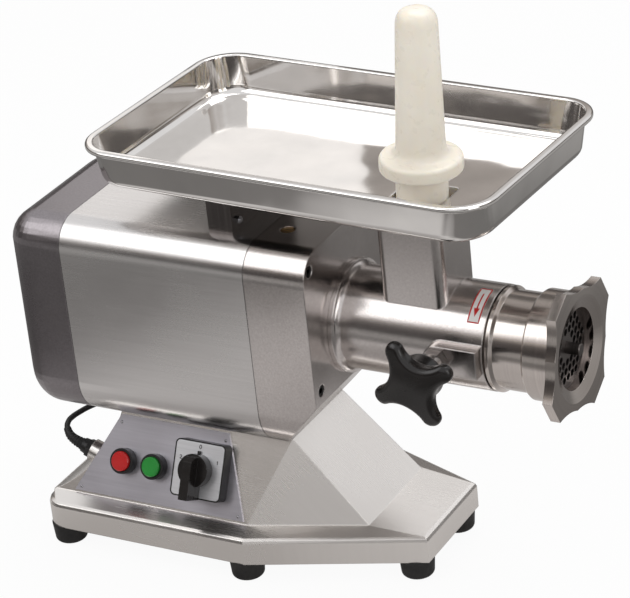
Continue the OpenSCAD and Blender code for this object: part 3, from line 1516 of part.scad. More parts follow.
module pusher() color([0.93, 0.91, 0.82]) machine() {
    z1 = push_body;
    z2 = push_body + push_flange_t;
    z3 = z2 + push_handle;
    translate([push_x - (tray_z - push_z0) * tan(push_lean), 0, push_z0]) rotate([0, push_lean, 0]) rotate_extrude() {
        polygon([
            [0, 0], [push_r - 2, 0], [push_r, 2], [push_r, z1], [push_flange_r - 3, z1],
            [push_flange_r, z1 + 3], [push_flange_r, z2 - 5], [push_flange_r - 3, z2 - 1.5],
            [push_low_r + 9, z2 + 1], [push_low_r + 4, z2 + 4], [push_low_r + 1.5, z2 + 9],
            [push_low_r, z2 + 16], [push_top_r + 2, z2 + push_handle * 0.5],
            [push_top_r, z3 - push_top_r], [push_top_r * 0.94, z3 - push_top_r * 0.62],
            [push_top_r * 0.76, z3 - push_top_r * 0.3], [push_top_r * 0.42, z3 - push_top_r * 0.08],
            [0, z3]
        ]);
    }
}

// ---- Tray bracket ----

module tray_bracket() color([0.45, 0.44, 0.44]) machine() {
    h = tray_z - house_z1;
    difference() {
        translate([-bracket_x - bracket_d, -bracket_w, house_z1]) cube([bracket_d, 2 * bracket_w, h]);
        translate([-bracket_x - bracket_d - 1, -bracket_w + bracket_t, house_z1 - 1])
            cube([bracket_d + 1 - bracket_t, 2 * (bracket_w - bracket_t), h + 2]);
        bracket_holes(small_r + 0.5);
    }
}

module bracket_holes(r) {
    for (s = [-1, 1]) translate([-bracket_x - bracket_d, s * (bracket_w - clip_in), house_z1 + clip_z])
        rotate([0, quarter, 0]) cylinder(h = 2 * bracket_d, r = r);
}

module bracket_clips() color([0.55, 0.55, 0.55]) machine() difference() {
    for (s = [-1, 1]) translate([-bracket_x - bracket_t - 3, s * (bracket_w - clip_in) - clip_w / 2 * 0.8, house_z1]) {
        cube([3, clip_w * 0.8, clip_h]);
        translate([-15, 0, 0]) cube([16, clip_w * 0.8, 3]);
    }
    bracket_holes(small_r + 0.5);
}

module bracket_bolts() color([0.45, 0.45, 0.45]) machine() {
    for (s = [-1, 1]) translate([-bracket_x, s * (bracket_w - clip_in), house_z1 + clip_z]) rotate([0, quarter, 0]) {
        translate([0, 0, -bracket_t - 9]) cylinder(h = bracket_t + 14, r = small_r + 0.5);
        cylinder(h = 3, r = 4.5, $fn = 6);
        translate([0, 0, -bracket_t - 6]) cylinder(h = 3, r = 4.5, $fn = 6);
    }
}

base_casting();
bottom_plate();
bottom_plate_screws();
rubber_feet();
foot_screws();
control_panel();
panel_rivets();
stop_button_body();
stop_button_cap();
start_button_body();
start_button_cap();
button_ring_nuts();
switch_cam_block();
switch_bezel();
switch_face();
switch_knob();
switch_shaft();
cable_gland();
strain_relief();
mains_cord();
cord_coil();
mains_plug();
gearbox_casting();
gearbox_screws();
oil_plug();
front_end_shield();
motor_sleeve();
motor_frame();
frame_bolts();
rear_end_shield();
rear_cover();
cover_screws();
stator_core();
stator_windings();
rotor_core();
rotor_shaft();
motor_bearings();
cooling_fan();
layshaft_gear();
layshaft();
layshaft_bearings();
output_gear();
output_shaft();
output_bearings();
oil_seal();
head_casting();
head_screws();
barrel();
worm_bushing();
worm();
knife();
grinder_plate();
ring_nut();
star_knob();
knob_stud();
tray();
pusher();
tray_bracket();
bracket_clips();
bracket_bolts();
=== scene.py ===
import json
import math

import bmesh
import bpy
from mathutils import Matrix, Vector


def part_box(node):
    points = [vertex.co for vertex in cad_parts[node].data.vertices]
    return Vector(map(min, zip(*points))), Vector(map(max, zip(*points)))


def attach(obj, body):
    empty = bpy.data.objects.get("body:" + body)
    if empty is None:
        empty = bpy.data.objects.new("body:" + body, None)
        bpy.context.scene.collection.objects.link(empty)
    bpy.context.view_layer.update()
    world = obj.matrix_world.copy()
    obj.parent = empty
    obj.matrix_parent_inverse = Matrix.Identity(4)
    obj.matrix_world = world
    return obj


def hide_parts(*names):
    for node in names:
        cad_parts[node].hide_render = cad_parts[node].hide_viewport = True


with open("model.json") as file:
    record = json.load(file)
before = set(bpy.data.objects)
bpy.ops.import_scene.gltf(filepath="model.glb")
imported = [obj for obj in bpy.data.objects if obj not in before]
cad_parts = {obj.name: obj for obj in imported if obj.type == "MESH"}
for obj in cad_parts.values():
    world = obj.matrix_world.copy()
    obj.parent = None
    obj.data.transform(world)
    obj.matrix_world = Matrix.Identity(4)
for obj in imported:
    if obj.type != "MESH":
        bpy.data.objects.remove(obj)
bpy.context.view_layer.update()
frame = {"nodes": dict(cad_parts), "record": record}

MM = 0.001
WELD = 1e-6
SCENE = bpy.context.scene

# Where things are
# Points are given in millimetres from the gearbox's front face, the worm's plane and the table.

nut_lo, nut_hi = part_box("ring_nut")
FRONT_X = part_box("head_casting")[0].x
AXIS_Y = (nut_lo.y + nut_hi.y) / 2
AXIS_Z = (nut_lo.z + nut_hi.z) / 2


def at(x, y, z):
    return Vector((FRONT_X + x * MM, AXIS_Y + y * MM, z * MM))


def millimetres(x, y, z):
    """Matrix that takes millimetres round a point into the frame."""
    return Matrix.Translation(at(x, y, z)) @ Matrix.Scale(MM, 4)


def smooth(t):
    t = min(max(t, 0.0), 1.0)
    return t * t * (3 - 2 * t)


def srgb(r, g, b):
    """A screen colour as the shader's linear one."""
    linear = [v / 12.92 if v <= 0.04045 else ((v + 0.055) / 1.055) ** 2.4 for v in (r, g, b)]
    return (*linear, 1.0)


# Camera

EYE = Vector((1.453697, -2.449065, 1.694578))
RIGHT = Vector((0.8773516, 0.4701898, -0.0957894))
UP = Vector((-0.1359752, 0.4350543, 0.8900778))
BACK = RIGHT.cross(UP)
LENS = 165.4513
SENSOR = 36
SHIFT = (0.00343, -0.00256)

camera = bpy.data.objects.new("camera", bpy.data.cameras.new("camera"))
SCENE.collection.objects.link(camera)
camera.matrix_world = Matrix.Translation(EYE) @ Matrix((RIGHT, UP, BACK)).transposed().to_4x4()
camera.data.lens = LENS
camera.data.sensor_width = SENSOR
camera.data.shift_x, camera.data.shift_y = SHIFT
camera.data.clip_start, camera.data.clip_end = 0.05, 100
SCENE.camera = camera
SCENE.view_settings.view_transform = "Standard"

# Materials


def add_node(tree, kind, inputs=None, **settings):
    """A shader node with its settings; an input is linked if it is a socket, and set if it is a value."""
    made = tree.nodes.new(kind)
    for key, value in settings.items():
        setattr(made, key, value)
    for key, value in (inputs or {}).items():
        if isinstance(value, bpy.types.NodeSocket):
            tree.links.new(value, made.inputs[key])
        else:
            made.inputs[key].default_value = value
    return made


def set_stops(ramp, stops):
    """Gives a colour ramp its (position, colour) stops."""
    while len(ramp.elements) < len(stops):
        ramp.elements.new(0.5)
    for element, (where, colour) in zip(ramp.elements, stops):
        element.position = where
        element.color = colour


class Surface:
    """One procedural material: its Principled shader and short ways to add nodes before it."""

    def __init__(self, name, **fixed):
        self.material = bpy.data.materials.new(name)
        self.material.use_nodes = True
        self.tree = self.material.node_tree
        self.shader = self.tree.nodes["Principled BSDF"]
        for socket, value in fixed.items():
            self.shader.inputs[socket.replace("_", " ")].default_value = value
        self.place = self.node("ShaderNodeTexCoord").outputs["Object"]

    def node(self, kind, inputs=None, **settings):
        return add_node(self.tree, kind, inputs, **settings)

    def math(self, operation, a, b=0.0, c=0.0):
        return self.node("ShaderNodeMath", {0: a, 1: b, 2: c}, operation=operation).outputs[0]

    def stretched(self, scale, place=None):
        return self.node("ShaderNodeMapping", {0: place or self.place, "Scale": scale}).outputs[0]

    def noise(self, place, scale=1.0, detail=3.0):
        return self.node("ShaderNodeTexNoise", {"Vector": place, "Scale": scale, "Detail": detail}).outputs[0]

    def spread(self, value, low, high, start=0.3, end=0.7):
        """Takes a value between start and end to low and high."""
        sockets = {"Value": value, "From Min": start, "From Max": end, "To Min": low, "To Max": high}
        return self.node("ShaderNodeMapRange", sockets).outputs[0]

    def blend(self, a, b, share):
        """Mixes two values, with this share of the first."""
        rest = self.math("MULTIPLY", b, 1 - share)
        return self.math("ADD", self.math("MULTIPLY", a, share), rest)

    def ramp(self, value, stops):
        made = self.node("ShaderNodeValToRGB", {0: value})
        set_stops(made.color_ramp, stops)
        return made.outputs[0]

    def darker(self, colour, mask, shade):
        """Turns a colour to a shade of itself where the mask is 1."""
        made = self.node("ShaderNodeMix", data_type="RGBA", blend_type="MULTIPLY")
        self.tree.links.new(mask, made.inputs["Factor"])
        self.tree.links.new(colour, made.inputs["A"])
        made.inputs["B"].default_value = (shade, shade, shade, 1)
        return made.outputs["Result"]

    def bump(self, height, distance, normal):
        sockets = {"Height": height, "Distance": distance, "Strength": 1.0, "Normal": normal}
        return self.node("ShaderNodeBump", sockets).outputs[0]

    def rounded(self, radius):
        """Normal that rounds sharp edges over a radius."""
        return self.node("ShaderNodeBevel", {"Radius": radius}, samples=4).outputs[0]

    def across(self):
        """x, y and z apart."""
        return self.node("ShaderNodeSeparateXYZ", {0: self.place}).outputs

    def round_the_worm(self):
        """Place along and away from the worm's axis, for turned marks."""
        x, y, z = self.across()
        dy, dz = self.math("SUBTRACT", y, AXIS_Y), self.math("SUBTRACT", z, AXIS_Z)
        squares = self.math("ADD", self.math("MULTIPLY", dy, dy), self.math("MULTIPLY", dz, dz))
        away = self.math("SQRT", squares)
        return self.node("ShaderNodeCombineXYZ", {0: x, 1: away, 2: 0.0}).outputs[0]

    def set(self, **sockets):
        for socket, value in sockets.items():
            self.tree.links.new(value, self.shader.inputs[socket.replace("_", " ")])
        return self.material


# Shares of the grain in a metal's tone and in its gloss, and the noise values where both tones are reached
TONE_SHARE, GLOSS_SHARE = 0.45, 0.25
TONE_LOW, TONE_HIGH = 0.34, 0.66
SEAM_HALF, SEAM_SHADE = 0.7 * MM, 0.25
WAVE_SCALE = 13.0


def metal(
    name, light, dark, rough, grain, depth=1.2e-5, cloud=7.0, waves=0.0, edge=0.0008, turned=False, seams=(),
):
    """Bare metal: a grain stretched one way, clouded tone, worn gloss and softened edges."""
    s = Surface(name, Metallic=1.0)
    place = s.round_the_worm() if turned else s.place
    marks = s.noise(s.stretched(grain, place), detail=4)
    fine = s.noise(s.stretched([4 * g for g in grain], place), detail=2)
    clouds = s.noise(s.place, cloud, 4)
    tone = s.blend(marks, clouds, TONE_SHARE)
    colour = s.ramp(tone, [(TONE_LOW, srgb(*dark)), (TONE_HIGH, srgb(*light))])
    rough_map = s.spread(s.blend(fine, clouds, GLOSS_SHARE), rough * 0.8, rough * 1.25)
    x = s.across()[0]
    for seam in seams:
        colour = s.darker(colour, s.math("COMPARE", x, seam, SEAM_HALF), SEAM_SHADE)
    normal = s.bump(marks, depth, s.rounded(edge))
    if waves:
        normal = s.bump(s.noise(s.place, WAVE_SCALE, 1), waves, normal)
    return s.set(Base_Color=colour, Roughness=rough_map, Normal=normal)


CLOUD_SCALE = 25.0
SCUFFS = (60, 140, 90)


def moulded(name, light, dark, rough, texture, depth, edge=0.0006, **fixed):
    """Plastic or rubber: an even colour with faint clouds, a fine moulded texture and handling marks."""
    s = Surface(name, **fixed)
    clouds = s.noise(s.place, CLOUD_SCALE, 4)
    grain = s.noise(s.place, texture, 2)
    scuffs = s.noise(s.stretched(SCUFFS), detail=5)
    colour = s.ramp(clouds, [(0.35, srgb(*dark)), (0.65, srgb(*light))])
    normal = s.bump(grain, depth, s.rounded(edge))
    return s.set(Base_Color=colour, Roughness=s.spread(scuffs, rough * 0.8, rough * 1.25), Normal=normal)


# Grains by their fineness along x, y and z, or along and away from the worm's axis
SHEET_GRAIN = (6, 260, 260)
TURNED_GRAIN = (900, 900, 1)
CAST_GRAIN = (420, 420, 420)
BASE_GRAIN = (8, 420, 30)
MIRROR_GRAIN = (30, 30, 30)
sleeve_lo, sleeve_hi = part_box("motor_sleeve")

MATERIALS = {
    "cast_steel": metal(
        "satin_casting", (0.93, 0.915, 0.90), (0.915, 0.90, 0.885), 0.27, BASE_GRAIN, 0.02e-5,
        cloud=5.0, edge=0.0014,
    ),
    "cast_aluminium": metal(
        "polished_casting", (0.84, 0.82, 0.81), (0.76, 0.735, 0.725), 0.20, CAST_GRAIN, 0.8e-5,
        waves=0.0004, edge=0.0022,
    ),
    "brushed_sheet": metal(
        "brushed_sheet", (0.86, 0.85, 0.845), (0.825, 0.815, 0.81), 0.25, SHEET_GRAIN, 0.1e-5,
        seams=(sleeve_lo.x, sleeve_hi.x),
    ),
    "polished_sheet": metal(
        "mirror_sheet", (0.91, 0.90, 0.89), (0.87, 0.86, 0.85), 0.075, MIRROR_GRAIN, 0.4e-5, waves=0.0011,
    ),
    "stainless": metal(
        "turned_steel", (0.85, 0.82, 0.80), (0.76, 0.73, 0.71), 0.16, TURNED_GRAIN, 1.5e-5, turned=True,
    ),
    "steel": metal(
        "machined_steel", (0.66, 0.64, 0.63), (0.50, 0.48, 0.47), 0.28, TURNED_GRAIN, 2e-5, turned=True,
    ),
    "dark_steel": metal("blackened_steel", (0.20, 0.19, 0.19), (0.12, 0.12, 0.12), 0.35, CAST_GRAIN),
    "core_steel": metal("laminations", (0.45, 0.45, 0.47), (0.3, 0.3, 0.32), 0.45, (1500, 4, 4), 3e-5),
    "zinc": metal("zinc_plate", (0.80, 0.80, 0.81), (0.66, 0.66, 0.68), 0.25, CAST_GRAIN),
    "brass": metal("brass", (0.78, 0.66, 0.45), (0.58, 0.45, 0.27), 0.30, CAST_GRAIN, 2e-5),
    "copper": metal("varnished_wire", (0.72, 0.40, 0.24), (0.50, 0.24, 0.13), 0.35, (900, 60, 60), 8e-5),
    "panel_grey": metal("satin_panel", (0.83, 0.82, 0.85), (0.76, 0.75, 0.78), 0.38, (10, 300, 300), 1.5e-5),
    "dial_plate": metal("dial_sheet", (0.90, 0.90, 0.91), (0.84, 0.84, 0.85), 0.45, (10, 600, 600)),
    "red_plastic": moulded("red_cap", (0.78, 0.10, 0.09), (0.70, 0.08, 0.08), 0.30, 900, 1e-5),
    "green_plastic": moulded("green_cap", (0.12, 0.56, 0.20), (0.10, 0.49, 0.17), 0.30, 900, 1e-5),
    "black_plastic": moulded("black_housing", (0.09, 0.085, 0.085), (0.06, 0.055, 0.055), 0.42, 1400, 2e-5),
    "black_gloss": moulded("black_knob", (0.10, 0.085, 0.08), (0.07, 0.06, 0.055), 0.24, 700, 1e-5),
    "milky_plastic": moulded(
        "milky_plastic", (0.95, 0.925, 0.875), (0.935, 0.905, 0.85), 0.30, 300, 1.5e-5,
        Subsurface_Weight=0.35, Subsurface_Radius=(0.02, 0.016, 0.01), Subsurface_Scale=0.5,
    ),
    "rubber": moulded("black_rubber", (0.12, 0.115, 0.11), (0.08, 0.075, 0.075), 0.62, 1600, 4e-5),
}
# Parts given darker metals than their slot's; the worm's is painted shade, a darker copy of machined steel
# for the worm in shadow
DARKER_METALS = {
    "rear_cover": metal(
        "cover_casting", (0.58, 0.56, 0.57), (0.50, 0.48, 0.49), 0.27, CAST_GRAIN, 0.8e-5, edge=0.0022,
    ),
    "tray_bracket": metal(
        "bracket_steel", (0.50, 0.48, 0.47), (0.38, 0.36, 0.355), 0.22, (300, 300, 8), 1e-5,
    ),
    # Painted shade: the worm's metal is darkened because the worm sits in shadow
    "worm": metal(
        "worm_steel_painted_shade", (0.50, 0.48, 0.47), (0.36, 0.34, 0.335), 0.30, TURNED_GRAIN, 2e-5, turned=True,
    ),
    "grinder_plate": metal(
        "plate_steel", (0.55, 0.53, 0.52), (0.40, 0.38, 0.38), 0.30, TURNED_GRAIN, 2e-5, turned=True,
    ),
}

for part in frame["record"]["subparts"]:
    slots = frame["nodes"][part["node"]].data.materials
    slots.clear()
    slots.append(DARKER_METALS.get(part["node"], MATERIALS[part["material_slot"]]))

# Building pieces


def piece(name, points, faces, slot, body, sharp=38, material=None):
    """A welded mesh with smooth faces and sharp edges, which rides on a body."""
    mesh = bpy.data.meshes.new(name)
    mesh.from_pydata([tuple(p) for p in points], [], faces)
    work = bmesh.new()
    work.from_mesh(mesh)
    bmesh.ops.remove_doubles(work, verts=work.verts, dist=WELD)
    bmesh.ops.recalc_face_normals(work, faces=work.faces)
    work.to_mesh(mesh)
    work.free()
    mesh.shade_smooth()
    mesh.set_sharp_from_angle(angle=math.radians(sharp))
    mesh.materials.append(material or MATERIALS[slot])
    made = bpy.data.objects.new(name, mesh)
    SCENE.collection.objects.link(made)
    weighted = made.modifiers.new("even_normals", "WEIGHTED_NORMAL")
    weighted.keep_sharp = True
    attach(made, body)
    return made


def joined(*parts):
    """Several (points, faces) as one."""
    points, faces = [], []
    for new_points, new_faces in parts:
        faces += [tuple(k + len(points) for k in face) for face in new_faces]
        points += new_points
    return points, faces


def loft(rings, caps=True, closed=False):
    """Points and faces through rings of equally many points; closed joins the last ring to the first."""
    count = len(rings[0])
    faces = []
    for i in range(len(rings) - (0 if closed else 1)):
        low, high = i * count, (i + 1) % len(rings) * count
        for k in range(count):
            after = (k + 1) % count
            faces.append((low + k, low + after, high + after, high + k))
    if caps and not closed:
        faces.append(tuple(range(count)))
        faces.append(tuple((len(rings) - 1) * count + k for k in range(count)))
    return [p for ring in rings for p in ring], faces


def rounded_line(corners, steps=6):
    """A line through (u, v, cut) corners, each rounded off over its cut."""
    line = []
    for i, (u, v, cut) in enumerate(corners):
        here = Vector((u, v))
        if not cut:
            line.append(here)
            continue
        before = (Vector(corners[i - 1][:2]) - here).normalized() * cut
        after = (Vector(corners[i + 1][:2]) - here).normalized() * cut
        for k in range(steps + 1):
            t = k / steps
            line.append(here + before * (1 - t) ** 2 + after * t ** 2)
    return line


def circle_point(radius, turn):
    return Vector((radius * math.cos(turn), radius * math.sin(turn)))


def lathe(profile, place, steps=96, ribs=0, rib_depth=0.0, rib_span=(0, 0)):
    """Turns an (r, z) profile about z; ribs are grooves along part of it."""
    rings = []
    for r, z in profile:
        ring = []
        for k in range(steps):
            turn = k * math.tau / steps
            groove = 0.0
            if ribs and rib_span[0] < z < rib_span[1]:
                groove = rib_depth * (0.5 - 0.5 * math.cos(ribs * turn))
            p = circle_point(max(r - groove, 0), turn)
            ring.append(place @ Vector((p.x, p.y, z)))
        rings.append(ring)
    return loft(rings, caps=False)


def sweep(line, radii, steps=32):
    """Round sections of changing radius along a line of points."""
    rings = []
    for i, (here, radius) in enumerate(zip(line, radii)):
        along = (line[min(i + 1, len(line) - 1)] - line[max(i - 1, 0)]).normalized()
        side = along.cross(Vector((0, 0, 1))).normalized()
        over = side.cross(along)
        rings.append([here + radius * (side * math.cos(a) + over * math.sin(a))
                      for a in (k * math.tau / steps for k in range(steps))])
    return loft(rings)


def curve_through(points, per_span=8):
    """Finely spaced points on a smooth curve through the given ones."""
    line = []
    for i in range(len(points) - 1):
        a, b, c, d = points[max(i - 1, 0)], points[i], points[i + 1], points[min(i + 2, len(points) - 1)]
        for k in range(per_span):
            t = k / per_span
            line.append((2 * b + (c - a) * t + (2 * a - 5 * b + 4 * c - d) * t ** 2
                         + (3 * b - a - 3 * c + d) * t ** 3) / 2)
    return line + [points[-1]]


# Lead

CORD_R = 3.25
GLAND = Vector((-331, -55, 82))
GLAND_OUT = Vector((-math.cos(math.radians(20)), 0, math.sin(math.radians(20))))
GLAND_L = 13
CORD_START = 22.8
COIL = Vector((-232, 232, 0))
COIL_R = 38
COIL_TURNS = 3.5
TURN_POINTS = 18
CLIMB = 0.3
EASE = 0.35
ENTRY_R = COIL_R + 2 * CORD_R + 0.3
ROUTE = [
    (-362, -52.5, 93.8), (-370.2, -45.6, 98), (-374.9, -35.5, 100.7), (-375.7, -24, 101.3),
    (-372.8, -12.9, 102.1), (-366.5, -3.5, 104.5), (-358.7, 4.8, 106.4), (-350.9, 13.3, 106.7),
    (-343.9, 22.4, 106), (-332, 42, 106.6), (-321.3, 62.8, 107), (-312.5, 84, 104), (-304, 108, 91),
    (-297, 129, 69), (-291, 146, 45), (-284, 160, 24), (-273, 172, 10), (-257, 181, 4), (-242, 185, CORD_R),
]
TAIL = [(-240, 270, 22.75), (-248, 270, 22.65), (-256, 270, 22.2), (-262, 270, 21.6)]


def coil_point(t):
    """Centre of the lead after t turns: it closes in from the free run and climbs a diameter in each turn."""
    turn = math.radians(-90) + t * math.tau
    radius = COIL_R + (ENTRY_R - COIL_R) * (1 - smooth(t / EASE))
    climbed = sum(smooth((t - k + CLIMB / 2) / CLIMB) for k in range(1, math.ceil(COIL_TURNS)))
    p = circle_point(radius, turn)
    return COIL + Vector((p.x, p.y, CORD_R + 2 * CORD_R * climbed))


coil_steps = round(COIL_TURNS * TURN_POINTS)
cord_points = [GLAND + GLAND_OUT * CORD_START] + [Vector(p) for p in ROUTE]
cord_points += [coil_point(i / TURN_POINTS) for i in range(coil_steps + 1)]
cord_points += [Vector(p) for p in TAIL]
cord_line = [at(*p) for p in cord_points]

lead_curve = bpy.data.curves.new("mains_lead", "CURVE")
lead_curve.dimensions = "3D"
lead_curve.bevel_depth = CORD_R * MM
lead_curve.bevel_resolution = 5
lead_curve.resolution_u = 6
lead_curve.use_fill_caps = True
spline = lead_curve.splines.new("BEZIER")
spline.bezier_points.add(len(cord_line) - 1)
for knot, here in zip(spline.bezier_points, cord_line):
    knot.co = here
    knot.handle_left_type = knot.handle_right_type = "AUTO"
lead_curve.materials.append(MATERIALS["rubber"])
lead = bpy.data.objects.new("mains_lead", lead_curve)
SCENE.collection.objects.link(lead)
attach(lead, "base")
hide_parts("mains_cord", "cord_coil")

BOOT_R = (7.4, 4.3)
boot_knots = [GLAND + GLAND_OUT * (GLAND_L + k) for k in range(0, 10, 2)]
boot_knots += curve_through([GLAND + GLAND_OUT * CORD_START, Vector(ROUTE[0]), Vector(ROUTE[1])], 6)[1:]
boot_line = curve_through(boot_knots, 4)


def grooved(line, wide, narrow, pitch=3.2, depth=0.8, plain=2.5):
    """Radii of a taper with rings of grooves."""
    radii, gone = [], 0.0
    total = sum((b - a).length for a, b in zip(line, line[1:]))
    for i, here in enumerate(line):
        gone += (here - line[i - 1]).length if i else 0.0
        share = gone / total
        groove = 0.0
        if plain < gone < total - plain:
            groove = depth * (0.5 - 0.5 * math.cos(math.tau * gone / pitch))
        radii.append(wide + (narrow - wide) * share - groove)
    return radii


boot_form = sweep([at(*p) for p in boot_line], [r * MM for r in grooved(boot_line, *BOOT_R)])
boot = piece("relief_boot", *boot_form, "rubber", "base")
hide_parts("strain_relief")

PLUG = (-280.5, 270, 18)
plug_place = millimetres(*PLUG) @ Matrix.Rotation(math.radians(-90), 4, "Y")
plug_profile = rounded_line([
    (0, -1, 0), (11, -1, 3), (16.6, 7, 5), (15.6, 15, 5), (17.9, 25, 2), (17.9, 29.9, 1.2), (13.6, 29.9, 0.6),
    (13.4, 28.6, 0.5), (0, 28.6, 0),
])
PLUG_TAIL = [(-259.5, 270, 22.1), (-266, 270, 21), (-274, 270, 18.8), (-283, 270, 18)]
TAIL_R = (4.6, 9.5)
plug_tail = curve_through([Vector(p) for p in PLUG_TAIL], 10)
plug_parts = joined(
    lathe(plug_profile, plug_place, 144, ribs=24, rib_depth=0.7, rib_span=(4, 22)),
    sweep([at(*p) for p in plug_tail], [r * MM for r in grooved(plug_tail, *TAIL_R)]),
)
plug = piece("plug_body", *plug_parts, "rubber", "base")
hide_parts("mains_plug")
PIN_SPREAD = 9.5
PIN_R = 2.4
PIN_FROM, PIN_TO = 26, 49
pin_profile = [Vector((0, PIN_FROM))]
pin_profile += rounded_line([(0, PIN_FROM, 0), (PIN_R, PIN_FROM, 0), (PIN_R, PIN_TO, 1.2), (0, PIN_TO, 0)])
pins = joined(*[
    lathe(pin_profile, plug_place @ Matrix.Translation((s * PIN_SPREAD, 0, 0)), 32) for s in (-1, 1)
])
plug_pins = piece("plug_pins", *pins, "steel", "base", material=MATERIALS["zinc"])

# Tray

PAN_AT = (-28.5, 50.5, 432.8)
PAN_TURN = math.radians(-2.85)
PAN_L, PAN_W, PAN_H = 498, 296, 47
SHEET_T = 1.5
RIM_CORNER, LOW_CORNER = 46, 54
FLOOR_RISE = 12
HOLE_X = 92.5
HOLE_HALF, COLLAR_HALF, HOLE_CORNER = 30.1, 31.6, 3.6
COLLAR_DEEP = 22
ARC_STEPS, SIDE_STEPS = 14, 22


def pan_ring(inset, height):
    """Outline of the turned pan, moved in from its rim; its corners widen towards the floor."""
    mix = smooth((height - FLOOR_RISE) / (PAN_H - FLOOR_RISE))
    corner = LOW_CORNER + (RIM_CORNER - LOW_CORNER) * mix - inset
    half = (PAN_L / 2 - inset - corner, PAN_W / 2 - inset - corner)
    signs = [(1, 1), (-1, 1), (-1, -1), (1, -1)]
    flat = []
    for q, (sx, sy) in enumerate(signs):
        for k in range(ARC_STEPS + 1):
            p = circle_point(corner, (q + k / ARC_STEPS) * math.pi / 2)
            flat.append(Vector((sx * half[0] + p.x, sy * half[1] + p.y)))
        nx, ny = signs[(q + 1) % 4]
        start = flat[-1]
        end = Vector((nx * half[0], ny * half[1])) + circle_point(corner, (q + 1) * math.pi / 2)
        flat += [start.lerp(end, k / SIDE_STEPS) for k in range(1, SIDE_STEPS)]
    c, s = math.cos(PAN_TURN), math.sin(PAN_TURN)
    x, y, z = PAN_AT
    return [Vector((x + c * p.x - s * p.y, y + s * p.x + c * p.y, z + height)) for p in flat]


def square_ring(toward, half, corner, height):
    """Rounded square round the throat, one point in the direction of each given one."""
    ring = []
    for p in toward:
        d = Vector((p.x - HOLE_X, p.y)).normalized()
        a = Vector((abs(d.x), abs(d.y)))
        reach = half / max(a)
        middle = Vector((half - corner, half - corner))
        if min(reach * a.x, reach * a.y) > half - corner:
            along = a.dot(middle)
            reach = along + math.sqrt(max(along ** 2 - middle.length_squared + corner ** 2, 0))
        ring.append(Vector((HOLE_X + d.x * reach, d.y * reach, PAN_AT[2] + height)))
    return ring


# Inset from the rim, height and rounding: over the floor, wall and rolled rim, then back underneath
inside = rounded_line([
    (30, SHEET_T, 0), (12.9, SHEET_T, 11), (9, PAN_H, 2.4), (0, PAN_H - 0.6, 3), (0, PAN_H - 6, 1.5),
    (3.4, PAN_H - 6, 0),
])
under = rounded_line([
    (3.4, PAN_H - 5, 0), (1.2, PAN_H - 5, 0.8), (1.2, PAN_H - 1.6, 1.2), (7.5, PAN_H - 1.2, 1.2),
    (11.4, 0, 11.3), (30, 0, 0),
])
HOLE_LIP = [(0.2, 0.2), (0.8, 0), (3, 0)]
toward = pan_ring(40, 0)
pan_rings = [square_ring(toward, HOLE_HALF, HOLE_CORNER, h) for h in (-COLLAR_DEEP, SHEET_T - 0.6)]
pan_rings += [square_ring(toward, HOLE_HALF + d, HOLE_CORNER + d, SHEET_T - h) for d, h in HOLE_LIP]
pan_rings += [pan_ring(p.x, p.y) for p in inside + under]
pan_rings += [square_ring(toward, COLLAR_HALF + d, HOLE_CORNER + 1.5 + d, 0) for d in (3, 0)]
pan_rings.append(square_ring(toward, COLLAR_HALF, HOLE_CORNER + 1.5, -COLLAR_DEEP))
pan_points, pan_faces = loft(pan_rings, closed=True)
tray = piece("tray_pan", [at(*p) for p in pan_points], pan_faces, "polished_sheet", "tray")
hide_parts("tray")

# Pusher

PUSHER_FOOT = 327.8
PUSHER_LEAN = math.radians(3)
PUSHER_X = 94.96 - (PAN_AT[2] - PUSHER_FOOT) * math.tan(PUSHER_LEAN)
BODY_TOP, FLANGE_TOP, HANDLE_TOP = 139.7, 155.7, 318.3
pusher_place = millimetres(PUSHER_X, 0, PUSHER_FOOT) @ Matrix.Rotation(PUSHER_LEAN, 4, "Y")
pusher_profile = rounded_line([
    (0, 0, 0), (27.5, 0, 3), (27.5, BODY_TOP, 1.5), (44.3, BODY_TOP, 3), (44.3, FLANGE_TOP - 0.5, 4.5),
    (26.6, FLANGE_TOP + 1, 10), (21.5, HANDLE_TOP, 17), (0, HANDLE_TOP, 0),
], 8)
pusher = piece("pusher_stick", *lathe(pusher_profile, pusher_place, 128), "milky_plastic", "pusher")
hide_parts("pusher")

# Star knob

KNOB_X, HUB_Y, KNOB_Z = 132, 92.4, 282.5
STAR_R, STAR_TIP, STAR_WAIST = 40, 10, 26
STAR_T, STAR_DOME = 18, 150
HUB_R, HUB_L = 25, 26
STAR_TURN = math.radians(27)
LOBE_STEPS, HOLLOW_STEPS = 18, 14
# Distance of the hollows' centres at which each hollow runs smoothly into both its lobes
waist = STAR_WAIST - STAR_TIP
hollow_at = (STAR_R ** 2 - waist ** 2) / (2 * (STAR_R * math.cos(math.pi / 4) - waist))
hollow_r = hollow_at - STAR_WAIST
knob_place = millimetres(KNOB_X, -HUB_Y, KNOB_Z) @ Matrix.Rotation(math.radians(90), 4, "X")


def star_outline(inset):
    """Four lobes joined by hollows, moved in from the edge."""
    hollow = circle_point(hollow_at, math.pi / 4)
    meet = math.atan2(hollow.y, hollow.x - STAR_R)
    half = math.atan2(-hollow.y, STAR_R - hollow.x) + math.radians(135)
    outline = []
    for k in range(4):
        spin = Matrix.Rotation(STAR_TURN + k * math.pi / 2, 2)
        for i in range(LOBE_STEPS):
            turn = -meet + 2 * meet * i / LOBE_STEPS
            outline.append(spin @ (Vector((STAR_R, 0)) + circle_point(STAR_TIP - inset, turn)))
        for i in range(HOLLOW_STEPS):
            turn = half - 2 * half * i / HOLLOW_STEPS - math.radians(135)
            outline.append(spin @ (hollow + circle_point(hollow_r + inset, turn)))
    return outline


def star_ring(inset, share, scale=1.0):
    """One ring of the star at a share of its domed height."""
    ring = []
    for p in star_outline(inset):
        q = p * scale
        top = STAR_T - STAR_DOME + math.sqrt(STAR_DOME ** 2 - q.length_squared)
        ring.append(knob_place @ Vector((q.x, q.y, HUB_L + top * share)))
    return ring


